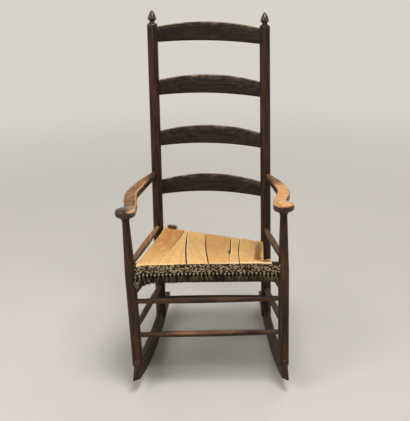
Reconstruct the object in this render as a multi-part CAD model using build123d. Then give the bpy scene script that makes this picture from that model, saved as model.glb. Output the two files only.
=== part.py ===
from build123d import *
import os
from math import atan, cos, degrees, radians, sin, sqrt

# A rocking armchair with a four-slat back, in millimetres.
# It is drawn upright, with the front post axes at y = 0 and the rocker arcs touching z = 0.
# Then it is tipped back onto its rockers, the way it stands when it is empty.
# The front of the chair faces -Y. Left and right are as seen from the front.
LEFT = -1
RIGHT = 1

# Stance
lean_angle = 7.5
seat_depth = 350
front_spacing_foot = 406
front_spacing_arm = 426
back_spacing = 332
back_rake = 2.0

# Wear of the old frame: the front posts lean to the left at the top, and the frame has twisted,
# so that on the right the front joints are high and the back ones low, and on the left the reverse.
# The upper rungs under the seat and those in front have moved less.
front_post_lean = 10
frame_twist = 6
stretcher_twist = 3

# Front posts
front_post_radius = 15
front_neck_radius = 10
front_collar_radius = 13.8
front_collar_height = 14
front_collar_lip = 3
front_foot_height = 44
arm_height = 480
post_tenon_radius = 7
post_tenon_length = 18

# Back posts with acorn finials
back_post_radius = 15.5
back_foot_height = 58
shoulder_height = 957
finial_height = 43
finial_radius = 13.2
finial_neck_radius = 7.2
finial_neck_height = 10
finial_ledge_height = 20
finial_ledge_step = 1.2
finial_tip_radius = 1.5
finial_shoulder_fullness = 0.8
finial_cup_fullness = 0.86
finial_dome_fullness = 0.72

# Back slats
slat_count = 4
slat_lowest_height = 467
slat_top_drop = 29
slat_spacing_growth = 1.02
slat_end_depth = 44
slat_upper_rise = 20
slat_lower_rise = 8
slat_thickness = 8
slat_bow = 40
slat_tenon_past_axis = 2

# Rungs and round rails, as heights, end radii and radii of the swollen middle
side_rail_height = 344
side_rail_radius = 9.5
rear_rail_height = 282
rear_rail_radius = 11
front_upper_height = 237
front_lower_height = 138
front_stretcher_radius = 9
side_upper_front_height = 253
side_upper_rear_height = 246
side_lower_front_height = 157
side_lower_rear_height = 154
side_stretcher_radius = 9
rear_stretcher_height = 118
rear_stretcher_radius = 8.5
rung_end_radius = 7
rung_tenon_past_axis = 3
rung_straight_end = 8

# Front seat rail, a deep board with rounded edges
front_rail_height = 317
front_rail_depth = 54
front_rail_thickness = 24
front_rail_rounding = 8
front_rail_tenon_radius = 8

# Arms
arm_thickness = 24
arm_rise = 17
arm_edge_rounding = 5
arm_tenon_radius = 6
arm_tenon_past_axis = 3
arm_tenon_length = 43
arm_rear_width = 13
arm_middle_width = 33
arm_neck_width = 36
arm_middle_reach = 150
arm_neck_reach = 45
arm_neck_inset = 8
arm_rear_offset = 5
arm_outward_bow = 28
knob_radius = 29
knob_thickness = 27
knob_rounding = 9

# Rockers
rocker_radius = 940
rocker_low_point = 118
rocker_depth = 56
rocker_thickness = 16
rocker_front_overhang = 42
rocker_tail_overhang = 116
rocker_tip_depth = 9
rocker_tip_thickness = 4
rocker_tail_depth = 28
rocker_worn_depth = 0.35
rocker_peg_radius = 3
rocker_peg_inset = 1
rocker_shoulder = 2

# Seat sheet, split front to back into strips
sheet_thickness = 2.2
sheet_lip = 12
sheet_sag = 5
sheet_rear_overhang = 7
strip_gap = 4
sheet_left_inset_front = 21
sheet_right_inset_front = 54
sheet_left_inset_rear = 17
sheet_right_inset_rear = 9
split_front_places = (-137, -61, -2, 56, 83)
split_rear_places = (-86, -76, -18, 58, 87)
strip_post_gap = 1.5
strip_margin = 48
padding_left_depth = 49
padding_width = 20

# Cloth lining under the seat, from rail to rail
lining_thickness = 1.2
lining_front_drop = 14
lining_edge_inset = 10
lining_rear_overhang = 4

# Trim on the front rail
band_depth = 24
band_thickness = 2.5
fringe_depth = 27
fringe_heading = 10
fringe_thickness = 2
fringe_tuft_width = 12
fringe_tuft_drop = 4

# Tacks
tack_shank_radius = 0.8
tack_length = 9
tack_head_radius = 3
tack_head_depth = 0.8
seat_tack_spacing = 25
trim_tack_spacing = 32

# Fits
joint_clearance = 0.05
layer_clearance = 0.05

front_rail_top = front_rail_height + front_rail_depth / 2
front_rail_face = -front_rail_thickness / 2
rear_rail_top = rear_rail_height + rear_rail_radius
rocker_toe = atan((front_spacing_foot - back_spacing) / 2 / seat_depth)


# Placing

def along(start, end):
    """Plane midway between two points, with its Z axis running from one to the other."""
    return Plane(origin=(start + end) / 2, z_dir=end - start)


def front_axis(side, height):
    """Point on the axis of a front post."""
    share = height / arm_height
    spread = (front_spacing_arm - front_spacing_foot) * share
    return Vector(side * (front_spacing_foot + spread) / 2 - front_post_lean * share, 0, height)


def back_axis(side, height):
    """Point on the axis of a back post, at a height measured along the raked post."""
    reach = height - side_rail_height
    rake = radians(back_rake)
    return Vector(
        side * back_spacing / 2,
        seat_depth + reach * sin(rake),
        side_rail_height + reach * cos(rake),
    )


def arm_level(side):
    """Height of the top of a front post, where the arm sits on it."""
    return arm_height + side * frame_twist


def front_post_place(side):
    """Location of a front post, with Z along its axis and z = 0 at the foot line."""
    return Location(Plane(
        origin=front_axis(side, 0),
        x_dir=(1, 0, 0),
        z_dir=front_axis(side, arm_height) - front_axis(side, 0),
    ))


def back_place():
    """Location of the raked back, with z = 0 at the height of the side rails."""
    return Pos(0, seat_depth, side_rail_height) * Rot(X=-back_rake)


def rocker_place(side):
    """Location of a rocker, with X across it, Y along it from the front post, Z up."""
    return Pos(*front_axis(side, 0)) * Rot(Z=side * degrees(rocker_toe))


# Split lines of the seat sheet, from its left edge to its right edge

strip_front_edges = (
    front_axis(LEFT, side_rail_height).X + sheet_left_inset_front,
    *split_front_places,
    front_axis(RIGHT, side_rail_height).X - sheet_right_inset_front,
)
strip_rear_edges = (
    back_axis(LEFT, side_rail_height).X + sheet_left_inset_rear,
    *split_rear_places,
    back_axis(RIGHT, side_rail_height).X - sheet_right_inset_rear,
)


# Turned pieces

def front_post_blank(side, grow=0):
    """Front post with its collar and top tenon, before any hole is made in it."""
    top = (front_axis(side, arm_level(side)) - front_axis(side, 0)).length
    neck_top = top - front_collar_height
    with BuildSketch(Plane.XZ) as outline:
        with BuildLine():
            Polyline(
                (0, front_foot_height),
                (front_post_radius + grow, front_foot_height),
                (front_post_radius + grow, front_rail_height),
                (front_neck_radius + grow, neck_top),
            )
            Spline(
                (front_neck_radius + grow, neck_top),
                (front_collar_radius + grow, top - front_collar_lip),
                tangents=((0, 1), (1, 1)),
            )
            Polyline(
                (front_collar_radius + grow, top - front_collar_lip),
                (front_collar_radius + grow, top + grow),
                (post_tenon_radius + grow, top + grow),
                (post_tenon_radius + grow, top + post_tenon_length + grow),
                (0, top + post_tenon_length + grow),
                (0, front_foot_height),
            )
        make_face()
    return front_post_place(side) * revolve(outline.sketch, axis=Axis.Z)


def back_post_blank(side, grow=0):
    """Back post turned in one piece with its acorn finial, before any hole is made in it."""
    foot = back_foot_height - side_rail_height
    shoulder = shoulder_height - side * frame_twist - side_rail_height
    neck = shoulder + finial_neck_height
    ledge = shoulder + finial_ledge_height
    tip = shoulder + finial_height
    dome_radius = finial_radius - finial_ledge_step
    with BuildSketch(Plane.XZ) as outline:
        with BuildLine():
            Polyline(
                (0, foot),
                (back_post_radius + grow, foot),
                (back_post_radius + grow, shoulder),
            )
            Spline(
                (back_post_radius + grow, shoulder),
                (back_post_radius * finial_shoulder_fullness, (shoulder + neck) / 2),
                (finial_neck_radius, neck),
                (finial_radius * finial_cup_fullness, (neck + ledge) / 2),
                (finial_radius, ledge),
            )
            Line((finial_radius, ledge), (dome_radius, ledge + finial_ledge_step))
            Spline(
                (dome_radius, ledge + finial_ledge_step),
                (dome_radius * finial_dome_fullness, (ledge + tip) / 2),
                (finial_tip_radius, tip),
            )
            Line((finial_tip_radius, tip), (0, tip))
            Line((0, tip), (0, foot))
        make_face()
    return back_place() * Pos(side * back_spacing / 2, 0, 0) * revolve(outline.sketch, axis=Axis.Z)


def rung_half_length(start, end, past_axis):
    """Half the length of a rung whose tenons run past the axes of the two posts."""
    return (end - start).length / 2 + past_axis


def rung(start, end, middle_radius):
    """Round rung, swollen in the middle, with plain round tenons."""
    half = rung_half_length(start, end, rung_tenon_past_axis)
    straight = half - rung_tenon_past_axis - back_post_radius - rung_straight_end
    with BuildSketch(Plane.XZ) as outline:
        with BuildLine():
            Polyline((rung_end_radius, -straight), (rung_end_radius, -half), (0, -half), (0, half),
                     (rung_end_radius, half), (rung_end_radius, straight))
            ThreePointArc((rung_end_radius, straight), (middle_radius, 0), (rung_end_radius, -straight))
        make_face()
    return along(start, end) * revolve(outline.sketch, axis=Axis.Z)


def rung_bore(start, end):
    """Cutter for the two blind mortises of a rung."""
    half = rung_half_length(start, end, rung_tenon_past_axis)
    return along(start, end) * Cylinder(rung_end_radius + joint_clearance, 2 * (half + joint_clearance))


# Rungs by name: their end points and the radius of their swollen middle

def front_span(height):
    return front_axis(LEFT, height - stretcher_twist), front_axis(RIGHT, height + stretcher_twist)


def back_span(height):
    return back_axis(LEFT, height), back_axis(RIGHT, height)


def side_span(side, front_height, rear_height, twist):
    return front_axis(side, front_height + side * twist), back_axis(side, rear_height - side * twist)


SIDES = {"left": LEFT, "right": RIGHT}
front_rungs = {
    "front_stretcher_upper": (*front_span(front_upper_height), front_stretcher_radius),
    "front_stretcher_lower": (*front_span(front_lower_height), front_stretcher_radius),
}
rear_rungs = {
    "seat_rail_rear": (*back_span(rear_rail_height), rear_rail_radius),
    "rear_stretcher": (*back_span(rear_stretcher_height), rear_stretcher_radius),
}
side_rungs = {
    name: {
        f"seat_rail_{name}": (
            *side_span(side, side_rail_height, side_rail_height, frame_twist),
            side_rail_radius,
        ),
        f"side_stretcher_upper_{name}": (
            *side_span(side, side_upper_front_height, side_upper_rear_height, stretcher_twist),
            side_stretcher_radius,
        ),
        f"side_stretcher_lower_{name}": (
            *side_span(side, side_lower_front_height, side_lower_rear_height, frame_twist),
            side_stretcher_radius,
        ),
    }
    for name, side in SIDES.items()
}


# Slats

def slat_height(index):
    """Height of a slat's ends along the posts. The spaces between the slats grow towards the top."""
    reach = shoulder_height - slat_top_drop - slat_lowest_height
    steps = [slat_spacing_growth**step for step in range(slat_count - 1)]
    return slat_lowest_height + reach * sum(steps[:index]) / sum(steps)


def slat(index, grow=0):
    """Slat bent backwards in plan, with arched edges. It falls to the right with the twisted frame."""
    half = back_spacing / 2
    radius = (half**2 + slat_bow**2) / (2 * slat_bow)
    ring = Circle(radius + slat_thickness / 2 + grow) - Circle(radius - slat_thickness / 2 - grow)
    depth = slat_end_depth + slat_upper_rise + 2 * grow
    bent = Pos(0, slat_bow - radius, 0) * extrude(ring, depth, both=True)
    end = half + slat_tenon_past_axis + grow
    low = -slat_end_depth / 2 - grow
    high = slat_end_depth / 2 + grow
    with BuildSketch(Plane.XZ) as outline:
        with BuildLine():
            Line((-end, high), (-end, low))
            ThreePointArc((-end, low), (0, low + slat_lower_rise), (end, low))
            Line((end, low), (end, high))
            ThreePointArc((end, high), (0, high + slat_upper_rise), (-end, high))
        make_face()
    front_shape = Pos(0, slat_bow / 2, 0) * extrude(outline.sketch, slat_bow + slat_thickness, both=True)
    height = slat_height(index) - side_rail_height
    tilt = degrees(atan(frame_twist / half))
    return back_place() * Pos(0, 0, height) * Rot(Y=tilt) * (bent & front_shape)


# Rockers

def rocker_underside(reach):
    """Height of the rocker's arc at a distance behind the front post."""
    return rocker_radius - sqrt(rocker_radius**2 - (reach - rocker_low_point) ** 2)


def rocker_length():
    """Distance between the two posts, measured along the toed-in rocker."""
    return seat_depth / cos(rocker_toe)


def rocker_blank(side, grow=0):
    """Rocker sawn from a board, deep between the posts, sloping to a low tip in front, thinner at the tail."""
    back = rocker_length()
    tip = -rocker_front_overhang
    tail = back + rocker_tail_overhang
    front_start = -front_post_radius - rocker_shoulder
    back_end = back + back_post_radius + rocker_shoulder

    def low(reach):
        return (reach, rocker_underside(reach))

    def high(reach, depth):
        return (reach, rocker_underside(reach) + depth + grow)

    with BuildSketch(Plane.YZ) as outline:
        with BuildLine():
            ThreePointArc(low(tip), low((tip + tail) / 2), low(tail))
            Polyline(low(tail), high(tail, rocker_tail_depth), high(back_end, rocker_depth))
            ThreePointArc(high(back_end, rocker_depth), high(back / 2, rocker_depth),
                          high(front_start, rocker_depth))
            Polyline(high(front_start, rocker_depth), high(tip, rocker_tip_depth), low(tip))
        make_face()
    board = extrude(outline.sketch, rocker_thickness / 2 + grow, both=True)
    return rocker_place(side) * board


def rocker_paring(side):
    """Cutter that pares a rocker's front end from the inner side, thin towards its tip."""
    inner = -side
    face = inner * rocker_thickness / 2
    pared_face = face - inner * (rocker_thickness - rocker_tip_thickness)
    start = -front_post_radius - rocker_shoulder
    tip = -rocker_front_overhang
    with BuildSketch() as plan:
        Polygon(
            (face, start),
            (pared_face, tip),
            (pared_face, tip - rocker_thickness),
            (face + inner * rocker_thickness, tip - rocker_thickness),
            (face + inner * rocker_thickness, start),
            align=None,
        )
    reach = rocker_underside(tip) + rocker_underside(0) + rocker_depth
    return rocker_place(side) * extrude(plan.sketch, reach, both=True)


def rocker_pegs(side, radius):
    """The two pegs that pin a rocker in the slots of its posts."""
    back = rocker_length()
    places = (
        (0, (front_foot_height + rocker_underside(0) + rocker_depth) / 2),
        (back, (back_foot_height + rocker_underside(back) + rocker_depth) / 2),
    )
    length = 2 * (front_post_radius - rocker_peg_inset)
    peg = Rot(Y=90) * Cylinder(radius, length)
    return [rocker_place(side) * Pos(0, reach, height) * peg for reach, height in places]


# Arms

def arm_place(side):
    """Location of an arm board: level with the post top in front, rising to the back."""
    rise = arm_rise - 2 * side * frame_twist
    return Pos(0, 0, arm_level(side)) * Rot(X=degrees(atan(rise / seat_depth)))


def arm_blank(side):
    """Arm board with its knob, drawn on the right, before the posts are let into it."""
    front = side * front_axis(side, arm_level(side)).X
    neck = front - arm_neck_inset
    back = back_spacing / 2 + arm_rear_offset
    middle = front + (back - front) * arm_middle_reach / seat_depth + arm_outward_bow
    quarter = (arm_middle_reach + seat_depth) / 2
    quarter_x = (middle + back) / 2
    quarter_width = (arm_middle_width + arm_rear_width) / 2

    def edge(sign):
        return [
            (neck + sign * arm_neck_width / 2, 0),
            (neck + sign * arm_neck_width / 2, arm_neck_reach),
            (middle + sign * arm_middle_width / 2, arm_middle_reach),
            (quarter_x + sign * quarter_width / 2, quarter),
            (back + sign * arm_rear_width / 2, seat_depth),
        ]

    outer = edge(1)
    inner = edge(-1)
    with BuildSketch() as plan:
        with BuildLine():
            Spline(*outer)
            Line(outer[-1], inner[-1])
            Spline(*inner)
            Line(inner[0], outer[0])
        make_face()
    board = extrude(plan.sketch, arm_thickness)
    flat_faces = board.faces().filter_by(Axis.Z)
    board = fillet(flat_faces.edges().filter_by(GeomType.LINE, reverse=True), arm_edge_rounding)
    knob = Pos(front, 0, knob_thickness / 2) * Cylinder(knob_radius, knob_thickness)
    knob = fillet(knob.edges().filter_by(GeomType.CIRCLE), knob_rounding)
    return board + knob


def arm_tenon(radius, extra=0):
    """Round tenon at the rear of an arm drawn on the right, which runs into the back post."""
    end = seat_depth + arm_tenon_past_axis + extra
    start = seat_depth + arm_tenon_past_axis - arm_tenon_length
    place = Pos(back_spacing / 2 + arm_rear_offset, (start + end) / 2, arm_thickness / 2)
    return place * Rot(X=90) * Cylinder(radius, end - start)


def on_side(side, solid):
    """A piece drawn on the right, or its mirror image for the left."""
    return solid if side == RIGHT else mirror(solid, about=Plane.YZ)


def arm(side):
    """Arm scribed to the back post and bored for the front post's tenon."""
    board = arm_place(side) * on_side(side, arm_blank(side))
    board -= front_post_blank(side, joint_clearance)
    board -= back_post_blank(side, joint_clearance)
    board = board.solids().sort_by(SortBy.VOLUME)[-1]
    return board + arm_place(side) * on_side(side, arm_tenon(arm_tenon_radius))


def arm_bore(side):
    """Cutter for the arm's blind mortise in the back post."""
    bore = arm_tenon(arm_tenon_radius + joint_clearance, joint_clearance)
    return arm_place(side) * on_side(side, bore)


# Front seat rail

def front_rail_tenons(radius, extra=0):
    """Round tenons of the front rail, as one bar through both posts."""
    start, end = front_span(front_rail_height)
    half = rung_half_length(start, end, rung_tenon_past_axis) + extra
    return along(start, end) * Cylinder(radius, 2 * half)


def between_front_posts(solid):
    """A piece cut back to the round of both front posts."""
    for side in (LEFT, RIGHT):
        solid -= front_post_blank(side, joint_clearance)
    return solid.solids().sort_by(SortBy.VOLUME)[-1]


def front_rail():
    """Front rail: a rounded board scribed to the posts and the side rails, on round tenons."""
    section = RectangleRounded(front_rail_thickness, front_rail_depth, front_rail_rounding)
    board = extrude(Plane.YZ * section, front_spacing_arm / 2, both=True)
    board = between_front_posts(Pos(0, 0, front_rail_height) * board)
    for name in SIDES:
        start, end, _ = side_rungs[name][f"seat_rail_{name}"]
        board -= rung_bore(start, end)
    return board + front_rail_tenons(front_rail_tenon_radius)


# Seat lining, strips and padding

def lining_rear_top():
    """Height of the upper face of the lining over the rear rail."""
    return rear_rail_top + layer_clearance + lining_thickness


def padding_depth(x):
    """Thickness of the padding left on the rear rail, which thins out from left to right."""
    left = strip_rear_edges[0]
    right = strip_rear_edges[-1]
    return padding_left_depth * (right - x) / (right - left)


def strip_rear_height(index):
    """Height of the underside of a strip at its rear end."""
    middle = (strip_rear_edges[index] + strip_rear_edges[index + 1]) / 2
    return lining_rear_top() + layer_clearance + padding_depth(middle)


def strip_section(index):
    """Side view of a strip: tacked lip, bend over the front rail, and sagging seat."""
    bend = front_rail_rounding
    face = front_rail_face - layer_clearance
    top = front_rail_top + layer_clearance
    lip = top - bend - sheet_lip
    turn = (face + bend, top - bend)
    leave = front_rail_thickness / 2 - bend
    rear = seat_depth + sheet_rear_overhang
    rear_height = strip_rear_height(index)
    middle = (leave + rear) / 2
    middle_height = (top + rear_height) / 2 - sheet_sag

    def on_turn(radius, angle):
        return (turn[0] - radius * cos(radians(angle)), turn[1] + radius * sin(radians(angle)))

    def sheet_face(proud):
        """Edge of one face of the sheet: lip, bend, flat top and sagging seat."""
        radius = bend + proud
        Line((turn[0] - radius, lip), on_turn(radius, 0))
        ThreePointArc(on_turn(radius, 0), on_turn(radius, 45), on_turn(radius, 90))
        Line(on_turn(radius, 90), (leave, top + proud))
        Spline(
            (leave, top + proud),
            (middle, middle_height + proud),
            (rear, rear_height + proud),
            tangents=((1, 0), (rear - middle, rear_height - middle_height)),
        )

    with BuildSketch(Plane.YZ) as outline:
        with BuildLine():
            sheet_face(0)
            sheet_face(sheet_thickness)
            Line((face, lip), (face - sheet_thickness, lip))
            Line((rear, rear_height), (rear, rear_height + sheet_thickness))
        make_face()
    return outline.sketch


def strip_edge(edge, reach):
    """Place across the chair of a split line, at a distance behind the front posts."""
    front = strip_front_edges[edge]
    return front + (strip_rear_edges[edge] - front) * reach / seat_depth


def strip_prism(index):
    """Upright prism over the plan of a strip, with half a gap taken off each split edge."""
    last = len(strip_front_edges) - 2
    left_gap = strip_gap / 2 if index > 0 else 0
    right_gap = strip_gap / 2 if index < last else 0
    front = -strip_margin
    rear = seat_depth + strip_margin
    plan = make_face(Polyline(
        (strip_edge(index, front) + left_gap, front),
        (strip_edge(index + 1, front) - right_gap, front),
        (strip_edge(index + 1, rear) - right_gap, rear),
        (strip_edge(index, rear) + left_gap, rear),
        close=True,
    ))
    return extrude(plan, 2 * front_rail_top)


def clear_of_back_posts(solid):
    """A piece of the seat cut to pass just clear of both back posts."""
    for side in (LEFT, RIGHT):
        solid -= back_post_blank(side, strip_post_gap)
    return solid


def seat_strip(index):
    """One strip of the split seat sheet."""
    sheet = extrude(strip_section(index), front_spacing_arm, both=True)
    return clear_of_back_posts(sheet & strip_prism(index))


def lining_section(grow=0):
    """Side view of the lining: it runs from the back of the front rail to the top of the rear rail."""
    start = front_rail_thickness / 2 + layer_clearance - grow
    end = seat_depth + lining_rear_overhang + grow
    low = lining_rear_top() - lining_thickness - grow
    front_low = front_rail_top - lining_front_drop - grow
    middle = ((start + end) / 2, (front_low + low) / 2 - sheet_sag)
    rise = lining_thickness + 2 * grow
    with BuildSketch(Plane.YZ) as outline:
        with BuildLine():
            ThreePointArc((start, front_low), middle, (end, low))
            Line((end, low), (end, low + rise))
            ThreePointArc((end, low + rise), (middle[0], middle[1] + rise), (start, front_low + rise))
            Line((start, front_low + rise), (start, front_low))
        make_face()
    return outline.sketch


def seat_lining(grow=0):
    """Cloth lining under the strips, a little narrower than the sheet."""
    sheet = extrude(lining_section(grow), front_spacing_arm, both=True)
    rear = seat_depth + strip_margin
    inset = lining_edge_inset - grow
    plan = make_face(Polyline(
        (strip_edge(0, 0) + inset, 0),
        (strip_edge(-1, 0) - inset, 0),
        (strip_edge(-1, rear) - inset, rear),
        (strip_edge(0, rear) + inset, rear),
        close=True,
    ))
    return sheet & extrude(plan, 2 * front_rail_top)


def padding_block(width, height):
    """Block of padding over the axis of the rear rail, from within the lining upwards."""
    block = Box(width, padding_width, height, align=(Align.CENTER, Align.CENTER, Align.MIN))
    return Pos(0, seat_depth, lining_rear_top() - lining_thickness / 2) * block


def seat_padding():
    """Old padding over the rear rail, which carries the rear ends of the strips."""
    strips = range(len(strip_rear_edges) - 1)
    base = lining_rear_top() - lining_thickness / 2
    heights = [strip_rear_height(index) - sheet_sag * padding_width / seat_depth - base for index in strips]
    width = strip_rear_edges[-1] - strip_rear_edges[0]
    centre = (strip_rear_edges[-1] + strip_rear_edges[0]) / 2
    wedge = Pos(centre, 0, 0) * padding_block(width, min(heights))
    for index in strips:
        wedge += padding_block(back_spacing, heights[index]) & strip_prism(index)
    wedge -= seat_lining(layer_clearance)
    for index in strips:
        wedge -= seat_strip(index)
    wedge = clear_of_back_posts(wedge)
    return wedge.solids().sort_by(SortBy.VOLUME)[-1]


# Trim

def lip_bottom():
    """Height of the lower edge of the tacked seat lip."""
    return front_rail_top + layer_clearance - front_rail_rounding - sheet_lip


def band_back():
    """Depth of the back of the gimp band, just clear of the seat tacks."""
    return front_rail_face - sheet_thickness - tack_head_depth - 3 * layer_clearance


def trim_ends():
    """Ends of the trim, which runs from post to post along the front rail."""
    left, right = front_span(front_rail_height)
    return left.X, right.X


def trim_band():
    """Woven gimp band along the top of the front rail."""
    left, right = trim_ends()
    strip = Box(right - left, band_thickness, band_depth, align=(Align.MIN, Align.MAX, Align.MAX))
    return between_front_posts(Pos(left, band_back(), front_rail_top) * strip)


def trim_fringe():
    """Looped fringe, sewn behind the lower edge of the band, ending in a row of tufts."""
    top = front_rail_top - band_depth + fringe_heading
    top = min(top, lip_bottom() - layer_clearance)
    bottom = front_rail_top - band_depth - fringe_depth
    left, right = trim_ends()
    count = round((right - left) / fringe_tuft_width)
    width = (right - left) / count
    points = [(right, top), (left, top), (left, bottom)]
    for tuft in range(count):
        points.append((left + (tuft + 0.5) * width, bottom - fringe_tuft_drop))
        points.append((left + (tuft + 1) * width, bottom))
    outline = Plane.XZ * make_face(Polyline(*points, close=True))
    back = band_back() + layer_clearance
    return between_front_posts(Pos(0, back + fringe_thickness, 0) * extrude(outline, fringe_thickness))


# Tacks

def tack():
    """Tack along Y, with its head's back at y = 0 and its shank running to +Y."""
    shank = Pos(0, tack_length / 2, 0) * Rot(X=90) * Cylinder(tack_shank_radius, tack_length)
    head = Pos(0, -tack_head_depth / 2, 0) * Rot(X=90) * Cylinder(tack_head_radius, tack_head_depth)
    return shank + head


def row_of(count, spacing):
    """Even positions along X, centred on zero."""
    return [(place - (count - 1) / 2) * spacing for place in range(count)]


def seat_tack_places():
    """Places of the tacks in the lip: as many on each strip as its width takes."""
    places = []
    face = front_rail_face - layer_clearance - sheet_thickness - layer_clearance
    height = lip_bottom() + sheet_lip / 2
    for start, end in zip(strip_front_edges, strip_front_edges[1:]):
        count = max(1, int((end - start) / seat_tack_spacing))
        for offset in row_of(count, seat_tack_spacing):
            places.append(((start + end) / 2 + offset, face, height))
    return places


def trim_tack_places():
    """Places of the tacks through the band and the heading of the fringe."""
    face = band_back() - band_thickness - layer_clearance
    height = (lip_bottom() + front_rail_top - band_depth) / 2
    left, right = trim_ends()
    span = right - left - 2 * front_post_radius - trim_tack_spacing
    count = int(span / trim_tack_spacing) + 1
    return [((left + right) / 2 + offset, face, height) for offset in row_of(count, trim_tack_spacing)]


def tack_row(places):
    """The tacks at some places, as separate solids."""
    return [Pos(*place) * tack() for place in places]


def tack_bores(places):
    """Cutters for the shanks of the tacks at some places."""
    bore = Rot(X=90) * Cylinder(tack_shank_radius + joint_clearance, 2 * (tack_length + joint_clearance))
    return [Pos(*place) * bore for place in places]


# Whole chair

def front_post(side, name):
    """Front post with its mortises and the slot for the rocker."""
    post = front_post_blank(side)
    for start, end, _ in [*front_rungs.values(), *side_rungs[name].values()]:
        post -= rung_bore(start, end)
    post -= front_rail_tenons(front_rail_tenon_radius + joint_clearance, joint_clearance)
    post -= rocker_blank(side, joint_clearance)
    return post - rocker_pegs(side, rocker_peg_radius + joint_clearance)


def back_post(side, name):
    """Back post with its mortises, slat slots and the slot for the rocker."""
    post = back_post_blank(side)
    for start, end, _ in [*rear_rungs.values(), *side_rungs[name].values()]:
        post -= rung_bore(start, end)
    for index in range(slat_count):
        post -= slat(index, joint_clearance)
    post -= arm_bore(side)
    post -= rocker_blank(side, joint_clearance)
    return post - rocker_pegs(side, rocker_peg_radius + joint_clearance)


def floor_drop():
    """Height of the lowest line of the tipped rockers, before the worn flats are taken off."""
    lean = radians(lean_angle)
    toe = cos(rocker_toe)
    across = sqrt((toe * sin(lean)) ** 2 + cos(lean) ** 2)
    return rocker_radius * (cos(lean) - across) - rocker_low_point * toe * sin(lean)


def tipped(shape):
    """A piece tipped back onto the rockers, which stand on z = 0 with their worn flats."""
    return Pos(0, 0, -floor_drop() - rocker_worn_depth) * Rot(X=-lean_angle) * shape


def rocker(side):
    """Rocker bored for its pegs, with a small flat worn where it stands on the floor."""
    board = rocker_blank(side) - rocker_paring(side)
    board -= rocker_pegs(side, rocker_peg_radius + joint_clearance)
    reach = 4 * seat_depth
    floor = Box(reach, reach, reach, align=(Align.CENTER, Align.CENTER, Align.MAX))
    return tipped(board) - floor


def build():
    """All pieces by node name, as lists of solids in the upright drawing."""
    pieces = {}
    for name, side in SIDES.items():
        pieces[f"back_post_{name}"] = [back_post(side, name)]
        pieces[f"front_post_{name}"] = [front_post(side, name)]
        pieces[f"arm_{name}"] = [arm(side)]
    for rungs in (front_rungs, rear_rungs, *side_rungs.values()):
        for name, (start, end, radius) in rungs.items():
            pieces[name] = [rung(start, end, radius)]
    for index in range(slat_count):
        pieces[f"slat_{index + 1}"] = [slat(index)]
    seat_bores = tack_bores(seat_tack_places())
    trim_bores = tack_bores(trim_tack_places())
    pieces["seat_rail_front"] = [front_rail() - seat_bores - trim_bores]
    for index in range(len(strip_front_edges) - 1):
        pieces[f"seat_strip_{index + 1}"] = [seat_strip(index) - seat_bores]
    pieces["seat_lining"] = [seat_lining()]
    pieces["seat_padding"] = [seat_padding()]
    pieces["trim_band"] = [trim_band() - trim_bores]
    pieces["trim_fringe"] = [trim_fringe() - trim_bores]
    pieces["seat_tacks"] = tack_row(seat_tack_places())
    pieces["trim_tacks"] = tack_row(trim_tack_places())
    pieces["rocker_pegs"] = [
        peg for side in SIDES.values() for peg in rocker_pegs(side, rocker_peg_radius)
    ]
    return pieces


def main():
    """Tip the chair back, centre it over the origin and write one file for each node."""
    chair = {name: [tipped(solid) for solid in solids] for name, solids in build().items()}
    for name, side in SIDES.items():
        chair[f"rocker_{name}"] = [rocker(side)]
    box = Compound([solid for solids in chair.values() for solid in solids]).bounding_box()
    centre = Pos(-box.center().X, -box.center().Y, 0)
    os.makedirs("parts", exist_ok=True)
    for name, solids in chair.items():
        placed = [centre * solid for solid in solids]
        shape = placed[0] if len(placed) == 1 else Compound(placed)
        export_step(shape, f"parts/{name}.step")


main()
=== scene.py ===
from math import atan2, cos, pi, radians, sin, sqrt, tau

import bmesh
import bpy
import numpy as np
from mathutils import Euler, Matrix, Vector


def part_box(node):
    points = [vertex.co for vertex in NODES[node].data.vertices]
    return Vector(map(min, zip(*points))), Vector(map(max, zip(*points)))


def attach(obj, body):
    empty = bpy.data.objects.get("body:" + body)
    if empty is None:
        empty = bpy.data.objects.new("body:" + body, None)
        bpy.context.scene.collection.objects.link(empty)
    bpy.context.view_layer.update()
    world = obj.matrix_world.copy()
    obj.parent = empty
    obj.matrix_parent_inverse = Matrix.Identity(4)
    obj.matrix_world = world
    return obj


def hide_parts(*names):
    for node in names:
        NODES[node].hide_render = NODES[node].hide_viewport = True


bl_info = {
    "name": "Rocking Armchair",
    "version": (1, 0, 0),
    "blender": (4, 5, 0),
    "location": "3D View > Sidebar > Chair",
    "description": "Finishes, split hide seat and woven trim of an old slat-back rocking armchair",
    "category": "Object",
}

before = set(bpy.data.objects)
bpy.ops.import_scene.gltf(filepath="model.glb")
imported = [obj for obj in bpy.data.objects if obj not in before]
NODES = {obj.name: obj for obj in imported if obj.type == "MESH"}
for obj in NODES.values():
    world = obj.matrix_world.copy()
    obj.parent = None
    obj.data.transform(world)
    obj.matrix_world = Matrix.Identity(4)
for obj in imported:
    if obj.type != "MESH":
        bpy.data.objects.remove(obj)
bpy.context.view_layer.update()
MM = 0.001


# Standing of the chair: it is measured upright, and stands tipped back on its rockers.
# Its old frame has twisted, so the joints on the two sides differ in height.

LEAN = radians(7.5)
TWIST = 6 * MM
RAIL_MIDDLE = Vector((-6.6, 0, 317)) * MM
RAIL_TOP = 344 * MM
RAIL_FACE = -12 * MM
SEAT_DEPTH = 350 * MM


def standing_matrix():
    """Matrix from the upright measures of the chair to the way it stands."""
    low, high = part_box("seat_rail_front")
    tip = Matrix.Rotation(-LEAN, 4, "X")
    return Matrix.Translation((low + high) / 2 - tip @ RAIL_MIDDLE) @ tip


STANDING = standing_matrix()


# Settings that a user would change

def length(name, about, default):
    """A length in metres."""
    return bpy.props.FloatProperty(name=name, description=about, default=default, min=0.0, unit="LENGTH")


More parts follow.
